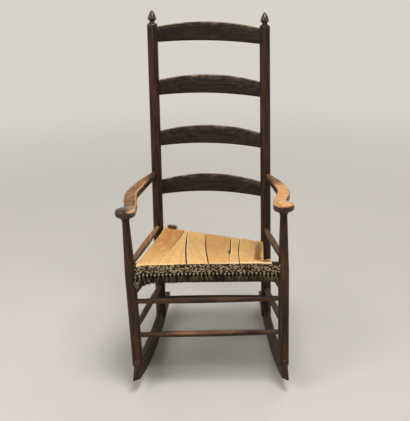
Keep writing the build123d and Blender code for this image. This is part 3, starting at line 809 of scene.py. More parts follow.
class HideSeat:
    """The hide sheet over the seat: its height, its split lines and its torn edges."""

    bend = 9.1 * MM
    lip = 12 * MM
    turn_y = RAIL_FACE + 7.95 * MM
    turn_z = RAIL_TOP - 7.95 * MM
    leave = 4 * MM
    rear = SEAT_DEPTH + 7 * MM
    rear_level = 295.4 * MM
    lift = 49 * MM
    remnant = 22 * MM
    # Where the painted crease shade lines of the pulled hide meet
    pivot = np.array((-80, 372)) * MM
    # Split lines across the seat, in front and at the rear, and how far each bows to the right
    front_edges = np.array((-196.3, -137, -61, -2, 56, 83, 149)) * MM
    rear_edges = np.array((-149, -86, -76, -18, 58, 87, 157)) * MM
    bows = np.array((0, 3, -3, -4, 1, -3, 0)) * MM
    # Half the opening of each split, in front, halfway and at the rear
    openings = np.array(((0, 0, 0), (0.06, 0.25, 0.45), (1.7, 1.8, 1.0), (1.3, 1.4, 0.8),
                         (0.2, 1.2, 1.0), (1.0, 1.3, 1.0), (0, 0, 0))) * MM

    # How light each strip is at its rear and in front, how bright its left edge is (painted highlight where
    # it is raised, and rubbed pale), and how blotched it is
    tints = (0.08, 0.9, 0.55, -0.12, 0.45, 0.4)
    front_tints = (0.72, 1.0, 0.75, 0.42, 0.6, 0.6)
    raised = (0.75, 0.0, 0.8, 0.3, 0.8, 0.7)
    blotched = (1.0, 0.1, 0.2, 0.25, 0.2, 0.3)

    def __init__(self, settings):
        self.settings = settings

    def level(self, x, y):
        """Height of the middle of the sheet behind the front rail."""
        left = self.rear_edges[0]
        right = self.rear_edges[-1]
        top = RAIL_TOP + 1.15 * MM
        rear = self.rear_level + self.lift * np.clip((right - x) / (right - left), 0, 1)
        part = np.clip((y - self.leave) / (self.rear - self.leave), 0, 1)
        fall = part * part * (1.6 - 0.6 * part)
        hollow = self.settings.sag * 4 * part * part * (1 - part) * 1.7
        return top + (rear - top) * fall - hollow

    def edge(self, index, y):
        """Place across the seat of a split line."""
        part = np.clip(y / SEAT_DEPTH, -0.05, 1.05)
        front = self.front_edges[index]
        bow = 4 * part * (1 - part) * self.bows[index]
        wander = 0.45 * MM * ripple(40 + index, y * 0.8)
        if index == len(self.front_edges) - 1:
            wander = wander + self.remnant * (1 - ease(y, 3 * MM, 15 * MM))
        return front + (self.rear_edges[index] - front) * part + bow + wander

    def opening(self, index, y, side):
        """Half the opening of a split line, on one side of it."""
        part = np.clip(y / SEAT_DEPTH, 0, 1)
        front, middle, rear = self.openings[index]
        half = np.where(part < 0.5, front + (middle - front) * ease(part, 0, 0.5),
                        middle + (rear - middle) * ease(part, 0.5, 1))
        nibble = half * 0.3 * ripple(70 + 2 * index + side, y * 3)
        broken = 0.0
        if index == 4:
            broken = 2.6 * MM * np.exp(-(((y - 112 * MM) / (30 * MM)) ** 2)) * (1.0 if side < 0 else 0.3)
        return half + nibble + broken

    def profile(self):
        """Distances (y, z) from the lip up over the bend, then y alone along the seat."""
        path = [(self.turn_y - self.bend, self.turn_z - self.lip + step * self.lip / 4)
                for step in range(4)]
        for step in range(7):
            angle = step / 6 * pi / 2
            path.append((self.turn_y - self.bend * cos(angle), self.turn_z + self.bend * sin(angle)))
        seat = self.leave + (self.rear - self.leave) * np.linspace(0, 1, 84) ** 1.08
        return path, seat

    def strip(self, index):
        """Points and faces of the middle of a strip, and how pale, dark, blotched and light they are."""
        path, seat = self.profile()
        last = len(self.front_edges) - 2
        count = max(9, int((self.front_edges[index + 1] - self.front_edges[index]) / (3.4 * MM)))
        across = 0.5 - 0.5 * np.cos(np.linspace(0.12, 1 - 0.12, count) * pi)
        across = (across - across[0]) / (across[-1] - across[0])
        points, pales, darks, blotches, tints = [], [], [], [], []
        for row in range(len(path) + len(seat)):
            on_rail = row < len(path)
            y = path[row][0] if on_rail else seat[row - len(path)]
            left = self.edge(index, y) + (self.opening(index, y, 1) if index else 0)
            right = self.edge(index + 1, y) - (self.opening(index + 1, y, -1) if index < last else 0)
            x = left + (right - left) * across
            share_back = max((y - self.leave) / (self.rear - self.leave), 0.0)
            if on_rail:
                place = np.full(count, y)
                level = np.full(count, path[row][1])
            else:
                ragged = 2.2 * MM * ripple(20 + index, x * 3) * ease(share_back, 0.9, 1.0)
                place = y + ragged
                level = self.level(x, y) + self.curl(index, x, y, left, right, share_back)
            points.extend(zip(x, place, level))
            pales.extend(self.pale(index, x, y, left))
            darks.extend(self.dark(index, x, y, right, share_back))
            blotches.extend(self.blotched[index] * np.full(count, ease(share_back, 0.05, 0.55)))
            # Each strip is lighter in front and darker towards the rear
            toward_rear = ease(share_back, 0.05, 0.7)
            tint = self.front_tints[index] * (1 - toward_rear) + self.tints[index] * toward_rear
            tints.extend(np.full(count, tint))
        marks = {"pale": pales, "dark": darks, "blotch": blotches, "tint": tints}
        return points, sheet_faces(len(points), count), marks

    def pale(self, index, x, y, left):
        """How far the sheet is pale: rubbed pale on its front edge, and with painted highlight, also
        rubbed, along the raised edges of splits.
        """
        front = (0.45 + 0.35 * ease(x, -80 * MM, 80 * MM)) * (1 - ease(y, -9 * MM, -1 * MM))
        # Painted highlight, also rubbed pale, along the raised left edge of a split
        raised = self.raised[index] * (1 - ease(x - left, 0.8 * MM, 4 * MM))
        return np.clip(np.maximum(front, raised), 0, 1)

    def dark(self, index, x, y, right, share_back):
        """How far the sheet is darkened: at its rear edge, with a stain round the hole, and with painted
        shade along the narrow crack beside the first strip and in the fold at its right."""
        inset = right - x
        marks = 0.22 * ease(share_back, 0.94, 1.0) * (0.6 + 0.5 * ripple(34, x * 1.5))
        if index == 0:
            # Painted shade along the narrow crack beside the first strip
            marks = marks + 0.85 * np.exp(-((inset / (1.8 * MM)) ** 2)) * ease(share_back, 0.15, 0.5)
        if index == 3:
            band = np.exp(-(((inset - 17 * MM) / (9 * MM)) ** 2))
            marks = marks + 0.3 * band * ease(share_back, 0.35, 0.8)
            marks = marks + 0.55 * np.exp(-((inset / (8 * MM)) ** 2) - ((y - 108 * MM) / (40 * MM)) ** 2)
        if index == 5:
            # Painted shade in the fold at the right of the last strip
            across = (inset - 15 * MM - 4 * MM * ripple(35, y * 0.5)) / ((8 + 4 * (1 - share_back)) * MM)
            marks = marks + np.exp(-(across**2)) * (1 - 0.75 * ease(share_back, 0.6, 1.0))
        return np.clip(marks, 0, 1)

    def curl(self, index, x, y, left, right, share_back):
        """How far the sheet lifts at its torn edges, and its shallow buckles."""
        last = len(self.front_edges) - 2
        free = ease(share_back, 0.03, 0.2) * (1 - 0.35 * ease(share_back, 0.85, 1.0))
        amount = self.settings.edge_curl * (0.6 + 0.6 * ripple(90 + index, y * 1.3))
        up = amount * np.exp(-(x - left) / (8 * MM)) * (0.35 if index == 1 else 1.0)
        if index < last:
            up = up + amount * 0.6 * np.exp(-(right - x) / (8 * MM)) * (0.35 if index == 0 else 1.0)
        else:
            inset = right - x
            foot = (32 - 12 * share_back) * MM
            ridge = 1 - ease(inset, 10 * MM, foot)
            up = up + self.settings.right_curl * ridge * (1 - 0.6 * ease(share_back, 0.55, 1.0))
            up = up - 3.0 * MM * np.exp(-(((inset - foot) / (10 * MM)) ** 2))
        buckle = 0.8 * MM * ripple(120 + index, x * 0.9, y * 0.5)
        corner = 7 * MM * ease(x, 153 * MM, 166 * MM) * np.exp(-(((y - 8 * MM) / (6 * MM)) ** 2))
        return (up + buckle) * free + corner


def hide_finish(settings, pivot):
    """Old stiff hide: golden tan, stained, with a fine grain and painted crease shade in thin dark lines
    that fan out from a pivot.
    """
    finish = Finish("old_hide", roughness=0.55, Specular_IOR_Level=0.3)
    cloud = finish.noise(finish.place, 11, 3.0, 0.55, 0.3)
    mottle = finish.noise(finish.place, 52, 4.0, 0.62, 0.5)
    fleck = finish.noise(finish.place, 340, 3.0, 0.6)
    pull = finish.noise(finish.stretch((1.0, 0.1, 1.0), (0, 0, 0.12)), 85, 4.0, 0.6, 0.25)
    cell = finish.node("ShaderNodeTexVoronoi", {"feature": "F1"}, {
        "Vector": finish.place, "Scale": 620.0}, output="Distance")
    freckle = finish.noise(finish.place, 150, 3.0, 0.6)
    pale = finish.named("pale") * (0.35 + freckle * 1.2)
    dark = finish.named("dark") * (0.55 + mottle * 0.9)
    spread = finish.noise(finish.stretch((1.0, 0.14, 1.0), (0, 0, 0.14)), 38, 4.0, 0.6, 0.6)
    blotch = finish.named("blotch") * spread.span(0.4, 0.6)
    bearing = finish.maths("ARCTAN2", finish.axis(finish.place, "X") - pivot.x,
                           pivot.y - finish.axis(finish.place, "Y"))
    # Painted crease shade: thin dark lines that fan out from the pivot
    crease_shade = finish.node("ShaderNodeTexNoise", {"noise_dimensions": "1D"}, {
        "W": bearing * 42.0, "Scale": 1.0, "Detail": 2.0, "Roughness": 0.55})
    lightness = finish.named("tint") + (cloud - 0.5) * 0.9 + (pull - 0.5) * 0.5 + (mottle - 0.5) * 0.5
    tone = finish.mix(lightness.span(0.0, 1.0), settings.tan_hide, settings.light_hide)
    # stain also holds the painted crease shade lines
    stain = (mottle.span(0.58, 0.8) * 0.22 + fleck.span(0.5, 0.75) * 0.3 + pull.span(0.56, 0.78) * 0.25
             + freckle.span(0.46, 0.7) * 0.42 + crease_shade.span(0.54, 0.64) * 0.34)
    tone = finish.mix(stain, tone, settings.stained_hide)
    tone = finish.mix(blotch * 0.85, tone, settings.stained_hide)
    # Painted shade in the fold and the narrow crack, the darker rear edge and the stain round the hole
    tone = finish.mix(dark.span(0.05, 1.0), tone, settings.fold_shade_and_stain_hide)
    # Rubbed pale front edge and painted highlight along the raised split edges
    tone = finish.mix(pale.span(0.2, 0.85), tone, settings.rubbed_and_highlit_hide)
    finish.feed(Base_Color=tone, Roughness=mottle * 0.25 + 0.45)
    finish.emboss(cell * 0.25 + fleck * 0.4 + mottle * 0.6 + pull * 0.8, 0.4 * MM, 0.75)
    return finish.material


class CHAIR_OT_stretch_seat(bpy.types.Operator):
    """Make the six strips of the split hide seat"""

    bl_idname = "chair.stretch_seat"
    bl_label = "Stretch Seat"

    def execute(self, context):
        settings = context.scene.chair_seat
        hide = HideSeat(settings)
        material = hide_finish(settings, STANDING @ Vector((*hide.pivot, RAIL_TOP)))
        for index in range(len(hide.tints)):
            points, faces, marks = hide.strip(index)
            node = f"seat_strip_{index + 1}"
            piece = add_piece(f"hide_strip_{index + 1}", points, faces, material)
            for name, values in marks.items():
                piece.data.attributes.new(name, "FLOAT", "POINT").data.foreach_set("value", values)
            thicken(piece, settings.thickness)
            round_off = piece.modifiers.new("soft_edges", "SUBSURF")
            round_off.levels = 1
            round_off.render_levels = 1
            settle(piece, "seat_hide", node)
        return {"FINISHED"}


# Lining

class CHAIR_OT_line_seat(bpy.types.Operator):
    """Make the cloth lining under the hide, dark as painted shade where it shows through the splits"""

    bl_idname = "chair.line_seat"
    bl_label = "Line Seat"

    inset = 10 * MM
    front = 12.2 * MM
    front_level = 330.6 * MM
    rear_level = 293.65 * MM
    overhang = 4 * MM
    sag = 5 * MM
    thickness = 1.0 * MM

    def execute(self, context):
        settings = context.scene.chair_seat
        hide = HideSeat(settings)
        rows, columns = 60, 56
        end = SEAT_DEPTH + self.overhang
        points = []
        for part in np.linspace(0, 1, rows):
            y = self.front + (end - self.front) * part
            straight = np.clip(y / SEAT_DEPTH, 0, 1.02)
            edges = hide.front_edges + (hide.rear_edges - hide.front_edges) * straight
            left = edges[0] + self.inset
            right = edges[-1] - self.inset
            x = np.linspace(left, right, columns)
            level = self.front_level + (self.rear_level - self.front_level) * part
            ripples = 0.9 * MM * ripple(60, x * 1.1, y * 1.1) * sin(pi * part)
            points.extend(zip(x, np.full(columns, y), level - 4 * self.sag * part * (1 - part) + ripples))
        faces = sheet_faces(len(points), columns)
        piece = add_piece("cloth_lining", points, faces, lining_finish(settings))
        thicken(piece, self.thickness)
        settle(piece, "lining_cloth", "seat_lining")
        return {"FINISHED"}


def lining_finish(settings):
    """Coarse cloth in plain weave, dusty, dark as painted shade for the splits."""
    finish = Finish("dark_lining", roughness=0.92, Specular_IOR_Level=0.15)
    warp = abs(finish.maths("SINE", finish.axis(finish.place, "X") * (pi / (1.1 * MM))))
    weft = abs(finish.maths("SINE", finish.axis(finish.place, "Y") * (pi / (1.1 * MM))))
    dust = finish.noise(finish.place, 40, 4.0, 0.6)
    weave = warp * weft
    tone = finish.mix(weave.span(0.2, 0.9), [0.3 * value for value in settings.lining_shade_brown],
                      settings.lining_shade_brown)
    finish.feed(Base_Color=finish.mix(dust.span(0.55, 0.8) * 0.25, tone, settings.stained_hide))
    finish.emboss(weave, 0.4 * MM, 0.7)
    return finish.material


# Stuffing

class CHAIR_OT_stuff_seat(bpy.types.Operator):
    """Make the old stuffing left on the rear rail, with its loose fibres"""

    bl_idname = "chair.stuff_seat"
    bl_label = "Stuff Seat"

    base_level = 294.4 * MM

    def lump(self, hide, material):
        """Lumpy roll of stuffing between the rear rail and the hide."""
        rings = []
        left = hide.rear_edges[0] + 4 * MM
        right = hide.rear_edges[-1] - 4 * MM
        for x in np.linspace(left, right, 90):
            top = float(hide.level(x, SEAT_DEPTH)) - 2.6 * MM
            base = self.base_level
            half = 9.5 * MM + 2.2 * MM * ripple(7, x * 2.2)
            tall = max(top - base, 1 * MM)
            ring = []
            for angle in np.linspace(0, tau, 28, endpoint=False):
                swell = 1 + 0.1 * ripple(8, x * 3, angle * 0.05)
                ring.append((x, SEAT_DEPTH + 1 * MM + half * cos(angle) * swell,
                             base + tall / 2 * (1 + sin(angle))))
            rings.append(ring)
        return add_piece("stuffing", *loft(rings), material)

    def fibres(self, name, base, material, count, long, seed):
        """Loose bent fibres that stand out of the stuffing."""
        recipe = Recipe(name, Density=float(count), Long=long, Thick=0.22 * MM, Seed=seed)
        size = recipe.size
        skin = recipe.node("GeometryNodeObjectInfo", {"transform_space": "ORIGINAL"}, {
            "Object": base}, output="Geometry")
        scatter = self.scatter(recipe, skin)
        hair = recipe.node("GeometryNodeCurvePrimitiveBezierSegment", {}, {
            "Resolution": 6, "Start": (0.0, 0.0, 0.0),
            "Start Handle": recipe.vector(0.0, 0.0, size["Long"] * 0.5),
            "End Handle": recipe.vector(size["Long"] * 0.4, 0.0, size["Long"] * 0.7),
            "End": recipe.vector(size["Long"] * 0.75, size["Long"] * 0.3, size["Long"] * 0.6)})
        ring = recipe.node("GeometryNodeCurvePrimitiveCircle", {}, {
            "Resolution": 3, "Radius": size["Thick"]})
        hair = recipe.node("GeometryNodeCurveToMesh", {}, {"Curve": hair, "Profile Curve": ring})
        turn = recipe.vector(recipe.chance(-0.9, 0.9, 11), recipe.chance(-0.9, 0.9, 12),
                             recipe.chance(0.0, tau, 13))
        scale = recipe.chance(0.5, 1.25, 14)
        laid = recipe.strew(scatter, hair, turn, recipe.vector(scale, scale, scale),
                            recipe.chance(0.0, 1.0, 15))
        return recipe.run(laid, name, material, Matrix.Identity(4))

    @staticmethod
    def scatter(recipe, skin):
        """Points strewn over a skin."""
        return recipe.node("GeometryNodeDistributePointsOnFaces", {"distribute_method": "RANDOM"}, {
            "Mesh": skin, "Density": recipe.size["Density"], "Seed": recipe.size["Seed"]}, output="Points")

    def execute(self, context):
        settings = context.scene.chair_seat
        material = stuffing_finish(settings)
        hide = HideSeat(settings)
        lump = self.lump(hide, material)
        outward(lump.data)
        settle(lump, "old_padding", "seat_padding")
        tuft = self.tuft(hide, material)
        for name, base, count, long in (("stuffing_fibres", lump, 26000, 3 * MM),
                                        ("tuft_fibres", tuft, 260000, 7 * MM)):
            piece = self.fibres(name, base, material, count, long, 3)
            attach(piece, "root")
        return {"FINISHED"}

    def tuft(self, hide, material):
        """Knot of stuffing that stands up behind the left end of the hide."""
        rings = []
        for along in np.linspace(0.03, 0.97, 20) * pi:
            x = (-124 - 15 * cos(along)) * MM
            swell = sin(along) * (1 + 0.25 * ripple(6, x * 3))
            level = float(hide.level(x, hide.rear)) + 3.5 * MM
            rings.append([(x, hide.rear + 4 * MM + 4.5 * MM * swell * cos(angle),
                           level + 6 * MM * swell * (sin(angle) + 0.2 * ripple(5, x * 4, angle * 0.1)))
                          for angle in np.linspace(0, tau, 16, endpoint=False)])
        piece = add_piece("stuffing_tuft", *loft(rings), material)
        outward(piece.data)
        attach(piece, "root")
        return piece


def stuffing_finish(settings):
    """Matted old fibre, dark brown and dusty."""
    finish = Finish("old_stuffing", roughness=0.9, Specular_IOR_Level=0.2)
    mat = finish.noise(finish.place, 700, 4.0, 0.7, 1.5)
    patch = finish.noise(finish.place, 90, 3.0, 0.6)
    tone = finish.mix(mat.span(0.35, 0.7), [0.35 * tone for tone in settings.padding_brown],
                      [1.35 * tone for tone in settings.padding_brown])
    finish.feed(Base_Color=finish.mix(patch.span(0.55, 0.8) * 0.5, tone, settings.stained_hide))
    finish.emboss(mat + patch, 1.2 * MM, 0.9)
    return finish.material


# Trim on the front rail

BAND_BACK = -15.2 * MM
BAND_FRONT = -16.7 * MM
BAND_TOP = 344 * MM
BAND_DEPTH = 24 * MM
BAND_LEFT = -200 * MM
BAND_FOLD = 168 * MM
BAND_RIGHT = 190 * MM


def droop(piece):
    """Lets the ends of a trim piece sag as they do on the chair, and stands it in its place."""
    mesh = piece.data
    points = vertex_places(mesh)
    x = points[:, 0]
    points[:, 2] -= 7 * MM * ease(-x, 168 * MM, 202 * MM) ** 1.5
    points[:, 2] -= 1.6 * MM * ease(x, 120 * MM, 200 * MM)
    points[:, 2] += 0.9 * MM * ripple(3, x * 0.55) + 2.2 * MM * ease(x, -150 * MM, -20 * MM)
    points[:, 1] -= 0.5 * MM * (1 + ripple(4, x * 1.2))
    mesh.vertices.foreach_set("co", points.ravel())
    mesh.transform(STANDING)
    return piece


def yarn_finish(name, settings, low, high, foot_shade=0.0):
    """Old matted yarn, from dark through olive to cream by the tone that each stitch keeps.
    foot_shade is how much painted shade darkens the foot of the fringe."""
    finish = Finish(name, roughness=0.88, Specular_IOR_Level=0.2)
    tone = finish.named("tone") * (high - low) + low
    fuzz = finish.noise(finish.place, 1500, 3.0, 0.65)
    dust = finish.noise(finish.place, 60, 3.0, 0.6)
    if foot_shade:
        tone = tone - finish.named("low") * foot_shade
    yarn = finish.ramp(tone + (fuzz - 0.5) * 0.25 + (dust - 0.5) * 0.3, [
        (0.0, settings.dark_yarn), (0.3, settings.dark_yarn), (0.5, settings.olive_yarn),
        (0.75, settings.cream_yarn), (1.0, settings.cream_yarn)])
    finish.feed(Base_Color=yarn)
    finish.emboss(fuzz, 0.4 * MM, 0.8)
    return finish.material


def tape(name, left, right, low, high, y, material):
    """A flat strip of backing cloth along the rail."""
    columns = 90
    points = [(x, y, z) for x in np.linspace(left, right, columns) for z in np.linspace(low, high, 5)]
    faces = [(5 * step + row, 5 * step + row + 5, 5 * step + row + 6, 5 * step + row + 1)
             for step in range(columns - 1) for row in range(4)]
    piece = droop(add_piece(name, points, faces, material, Matrix.Identity(4)))
    thicken(piece, 0.8 * MM)
    return piece


class CHAIR_OT_weave_band(bpy.types.Operator):
    """Make the woven band: rows of slanting stitches on a dark backing"""

    bl_idname = "chair.weave_band"
    bl_label = "Weave Band"

    rows = 11
    stitch = (2.2 * MM, 0.85 * MM, 0.95 * MM)

    def stitches(self, name, left, right, pitch, lower, material, seed):
        """A field of stitches between two places along the rail."""
        depth = BAND_DEPTH - 2.6 * MM
        recipe = Recipe(name, Length=right - left, Depth=depth, Pitch=pitch,
                        Columns=round((right - left) / pitch) + 1, Rows=self.rows, Slant=0.62)
        size = recipe.size
        grid = recipe.node("GeometryNodeMeshGrid", {}, {
            "Size X": size["Length"], "Size Y": size["Depth"],
            "Vertices X": size["Columns"], "Vertices Y": size["Rows"]})
        row = recipe.maths("ROUND", (recipe.axis("Y") / size["Depth"] + 0.5) * (size["Rows"] - 1))
        odd = recipe.maths("MODULO", row, 2.0)
        shift = recipe.vector(odd * size["Pitch"] * 0.5 + recipe.chance(-0.4 * MM, 0.4 * MM, seed),
                              recipe.chance(-0.3 * MM, 0.3 * MM, seed + 1),
                              recipe.chance(-0.25 * MM, 0.35 * MM, seed + 2))
        places = recipe.node("GeometryNodeSetPosition", {}, {"Geometry": grid, "Offset": shift})
        ball = recipe.node("GeometryNodeMeshUVSphere", {}, {"Segments": 8, "Rings": 6, "Radius": 1.0})
        slant = (odd * 2.0 - 1.0) * size["Slant"] + recipe.chance(-0.35, 0.35, seed + 3)
        swell = recipe.chance(0.85, 1.15, seed + 4)
        large = recipe.vector(swell * self.stitch[0], swell * self.stitch[1], swell * self.stitch[2])
        tone = recipe.chance(0.0, 1.0, seed + 5) ** 1.3
        laid = recipe.strew(places, ball, recipe.vector(0.0, 0.0, slant), large, tone)
        middle = Vector(((left + right) / 2, BAND_FRONT, BAND_TOP - BAND_DEPTH / 2 - lower))
        stand = Matrix.Translation(middle) @ Matrix.Rotation(pi / 2, 4, "X")
        return droop(recipe.run(laid, name, material, stand))

    def execute(self, context):
        settings = context.scene.chair_trim
        material = yarn_finish("band_yarn", settings, 0.1, 1.0)
        dark = yarn_finish("band_backing", settings, 0.0, 0.2)
        low = BAND_TOP - BAND_DEPTH
        backing = tape("band_backing", BAND_LEFT, BAND_RIGHT, low + 0.5 * MM, BAND_TOP - 0.5 * MM,
                       BAND_BACK - 0.5 * MM, dark)
        pitch = settings.stitch_pitch
        pieces = [
            self.stitches("band_stitches", BAND_LEFT, BAND_FOLD, pitch, 0.0, material, 1),
            self.stitches("band_end_stitches", BAND_FOLD + 3 * MM, BAND_RIGHT, pitch, 1.2 * MM,
                          material, 31),
        ]
        settle(backing, "woven_braid", "trim_band")
        for piece in pieces:
            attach(piece, "root")
        return {"FINISHED"}


class CHAIR_OT_hang_fringe(bpy.types.Operator):
    """Make the looped fringe, gathered in knots under the band"""

    bl_idname = "chair.hang_fringe"
    bl_label = "Hang Fringe"

    per_knot = 26
    yarn_radius = 0.5 * MM
    knot_level = BAND_TOP - BAND_DEPTH - 0.5 * MM
    neck = 15 * MM

    def row(self, recipe, per_knot):
        """Points along the fringe, with some to each knot, and the number of each within its knot."""
        size = recipe.size
        number = recipe.node("GeometryNodeInputIndex")
        knot = recipe.maths("FLOOR", number / per_knot)
        within = number - knot * per_knot
        points = recipe.node("GeometryNodePoints", {}, {
            "Count": size["Count"] * per_knot,
            "Position": recipe.vector(knot * size["Pitch"] + BAND_LEFT, 0.0, 0.0)})
        return points, within, knot

    def loops(self, count, pitch, drop, material):
        """Matted yarn loops, pinched together in the neck under each knot."""
        recipe = Recipe("fringe_loops", Count=count, Pitch=pitch, Drop=drop, Yarn=self.yarn_radius)
        size = recipe.size
        points, within, _ = self.row(recipe, self.per_knot)
        loop = recipe.node("GeometryNodeCurvePrimitiveBezierSegment", {}, {
            "Resolution": 12, "Start": (-0.5 * MM, 0.0, 0.0), "End": (0.5 * MM, 0.0, 0.0),
            "Start Handle": recipe.vector(-1.5 * MM, 0.0, size["Drop"] * -1.33),
            "End Handle": recipe.vector(1.5 * MM, 0.0, size["Drop"] * -1.33)})
        ring = recipe.node("GeometryNodeCurvePrimitiveCircle", {}, {
            "Resolution": 5, "Radius": size["Yarn"]})
        loop = recipe.node("GeometryNodeCurveToMesh", {}, {"Curve": loop, "Profile Curve": ring})
        spread = (within / (self.per_knot - 1) - 0.5) * size["Pitch"]
        turn = recipe.vector(recipe.chance(-0.05, 0.05, 21), recipe.chance(-0.14, 0.14, 22),
                             recipe.chance(-0.9, 0.9, 23))
        scale = recipe.vector(1.0, 1.0, recipe.chance(0.86, 1.08, 24))
        nudge = recipe.vector(spread + recipe.chance(-0.5 * MM, 0.5 * MM, 25),
                              recipe.chance(-1.2 * MM, 1.2 * MM, 26),
                              recipe.chance(-0.5 * MM, 0.5 * MM, 27))
        points = recipe.node("GeometryNodeSetPosition", {}, {"Geometry": points, "Offset": nudge})
        laid = recipe.strew(points, loop, turn, scale, recipe.chance(0.0, 1.0, 28))
        return self.hang(recipe, laid, "fringe_loops", material, -14.6 * MM, (pitch, count))

    def pinch(self, mesh, pitch, count):
        """Draws the yarn together in each neck, so that dark holes open between the necks."""
        points = vertex_places(mesh)
        knot = np.arange(len(points)) * count // len(points) * pitch + BAND_LEFT
        below = self.knot_level - points[:, 2]
        tight = 0.24 + 0.1 * ripple(50, knot * 2) + 0.78 * ease(below, 0.75 * self.neck, 1.3 * self.neck)
        points[:, 0] = knot + (points[:, 0] - knot) * tight
        loose = ease(-knot, 150 * MM, 190 * MM)
        points[:, 2] -= 8 * MM * loose * np.clip(below / (25 * MM), 0, 1)
        points[:, 0] += loose * below * 0.16 * np.sin(below / (4.5 * MM) + knot * 400)
        mesh.vertices.foreach_set("co", points.ravel())
        # Painted shade at the foot of the fringe, growing downwards
        low = np.clip((below - 4 * MM) / (22 * MM), 0, 1) * (1 - 0.3 * loose)
        mesh.attributes.new("low", "FLOAT", "POINT").data.foreach_set("value", low)

    def knots(self, count, pitch, material):
        """The knots that gather the loops."""
        recipe = Recipe("fringe_knots", Count=count, Pitch=pitch)
        points, within, knot = self.row(recipe, 2)
        ball = recipe.node("GeometryNodeMeshUVSphere", {}, {"Segments": 8, "Rings": 6, "Radius": 1.0})
        lift = recipe.vector((within - 0.5) * 1.7 * MM, 0.0, recipe.chance(-5.0 * MM, -2.6 * MM, 41))
        points = recipe.node("GeometryNodeSetPosition", {}, {"Geometry": points, "Offset": lift})
        turn = recipe.vector(0.0, (within - 0.5) * 1.1 + recipe.chance(-0.2, 0.2, 42), 0.0)
        even = recipe.maths("MODULO", knot, 2.0)
        tone = recipe.chance(0.3, 0.65, 43) + even * 0.35
        laid = recipe.strew(points, ball, turn, (1.35 * MM, 1.2 * MM, 2.5 * MM), tone)
        return self.hang(recipe, laid, "fringe_knots", material, -16.2 * MM)

    def hang(self, recipe, geometry, name, material, y, pinched=None):
        """Stands a row in its place on the rail, drawn together at each knot if the knots' pitch and
        count are given."""
        piece = recipe.run(geometry, name, material, Matrix.Translation((0, y, self.knot_level)))
        if pinched:
            self.pinch(piece.data, *pinched)
        return droop(piece)

    def execute(self, context):
        settings = context.scene.chair_trim
        pitch = settings.loop_pitch
        count = int((BAND_RIGHT - BAND_LEFT) / pitch) + 1
        dark = yarn_finish("fringe_backing", settings, 0.0, 0.1)
        heading = tape("fringe_heading", BAND_LEFT, BAND_RIGHT, self.knot_level - 16 * MM,
                       self.knot_level + 2 * MM, -13.1 * MM, dark)
        fringe = yarn_finish("fringe_yarn", settings, 0.16, 0.82, 0.33)
        pieces = [
            self.loops(count, pitch, settings.fringe_drop, fringe),
            self.knots(count, pitch, yarn_finish("knot_yarn", settings, 0.3, 1.1)),
        ]
        settle(heading, "looped_fringe", "trim_fringe")
        for piece in pieces:
            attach(piece, "root")
        return {"FINISHED"}


# Tacks

class CHAIR_OT_finish_tacks(bpy.types.Operator):
    """Finish the small iron tacks"""

    bl_idname = "chair.finish_tacks"
    bl_label = "Finish Tacks"

    def execute(self, context):
        finish = Finish("tack_iron", roughness=0.6, Metallic=0.6)
        rust = finish.noise(finish.place, 900, 3.0, 0.6)
        tone = finish.mix(rust.span(0.35, 0.65), (0.02, 0.017, 0.014), (0.06, 0.036, 0.022))
        finish.feed(Base_Color=tone, Roughness=rust * 0.3 + 0.45)
        finish.emboss(rust, 0.2 * MM, 0.6)
        for node in ("seat_tacks", "trim_tacks"):
            dress(node, finish.material)
        return {"FINISHED"}


# Stage

def shown_rays(graph):
    """1 for rays that show the surroundings: those of the camera, mirrored ones and ones through glass."""
    camera, mirrored, through = (graph.node("ShaderNodeLightPath", output=f"Is {kind} Ray")
                                 for kind in ("Camera", "Glossy", "Transmission"))
    return graph.maths("MAXIMUM", graph.maths("MAXIMUM", camera, mirrored), through)


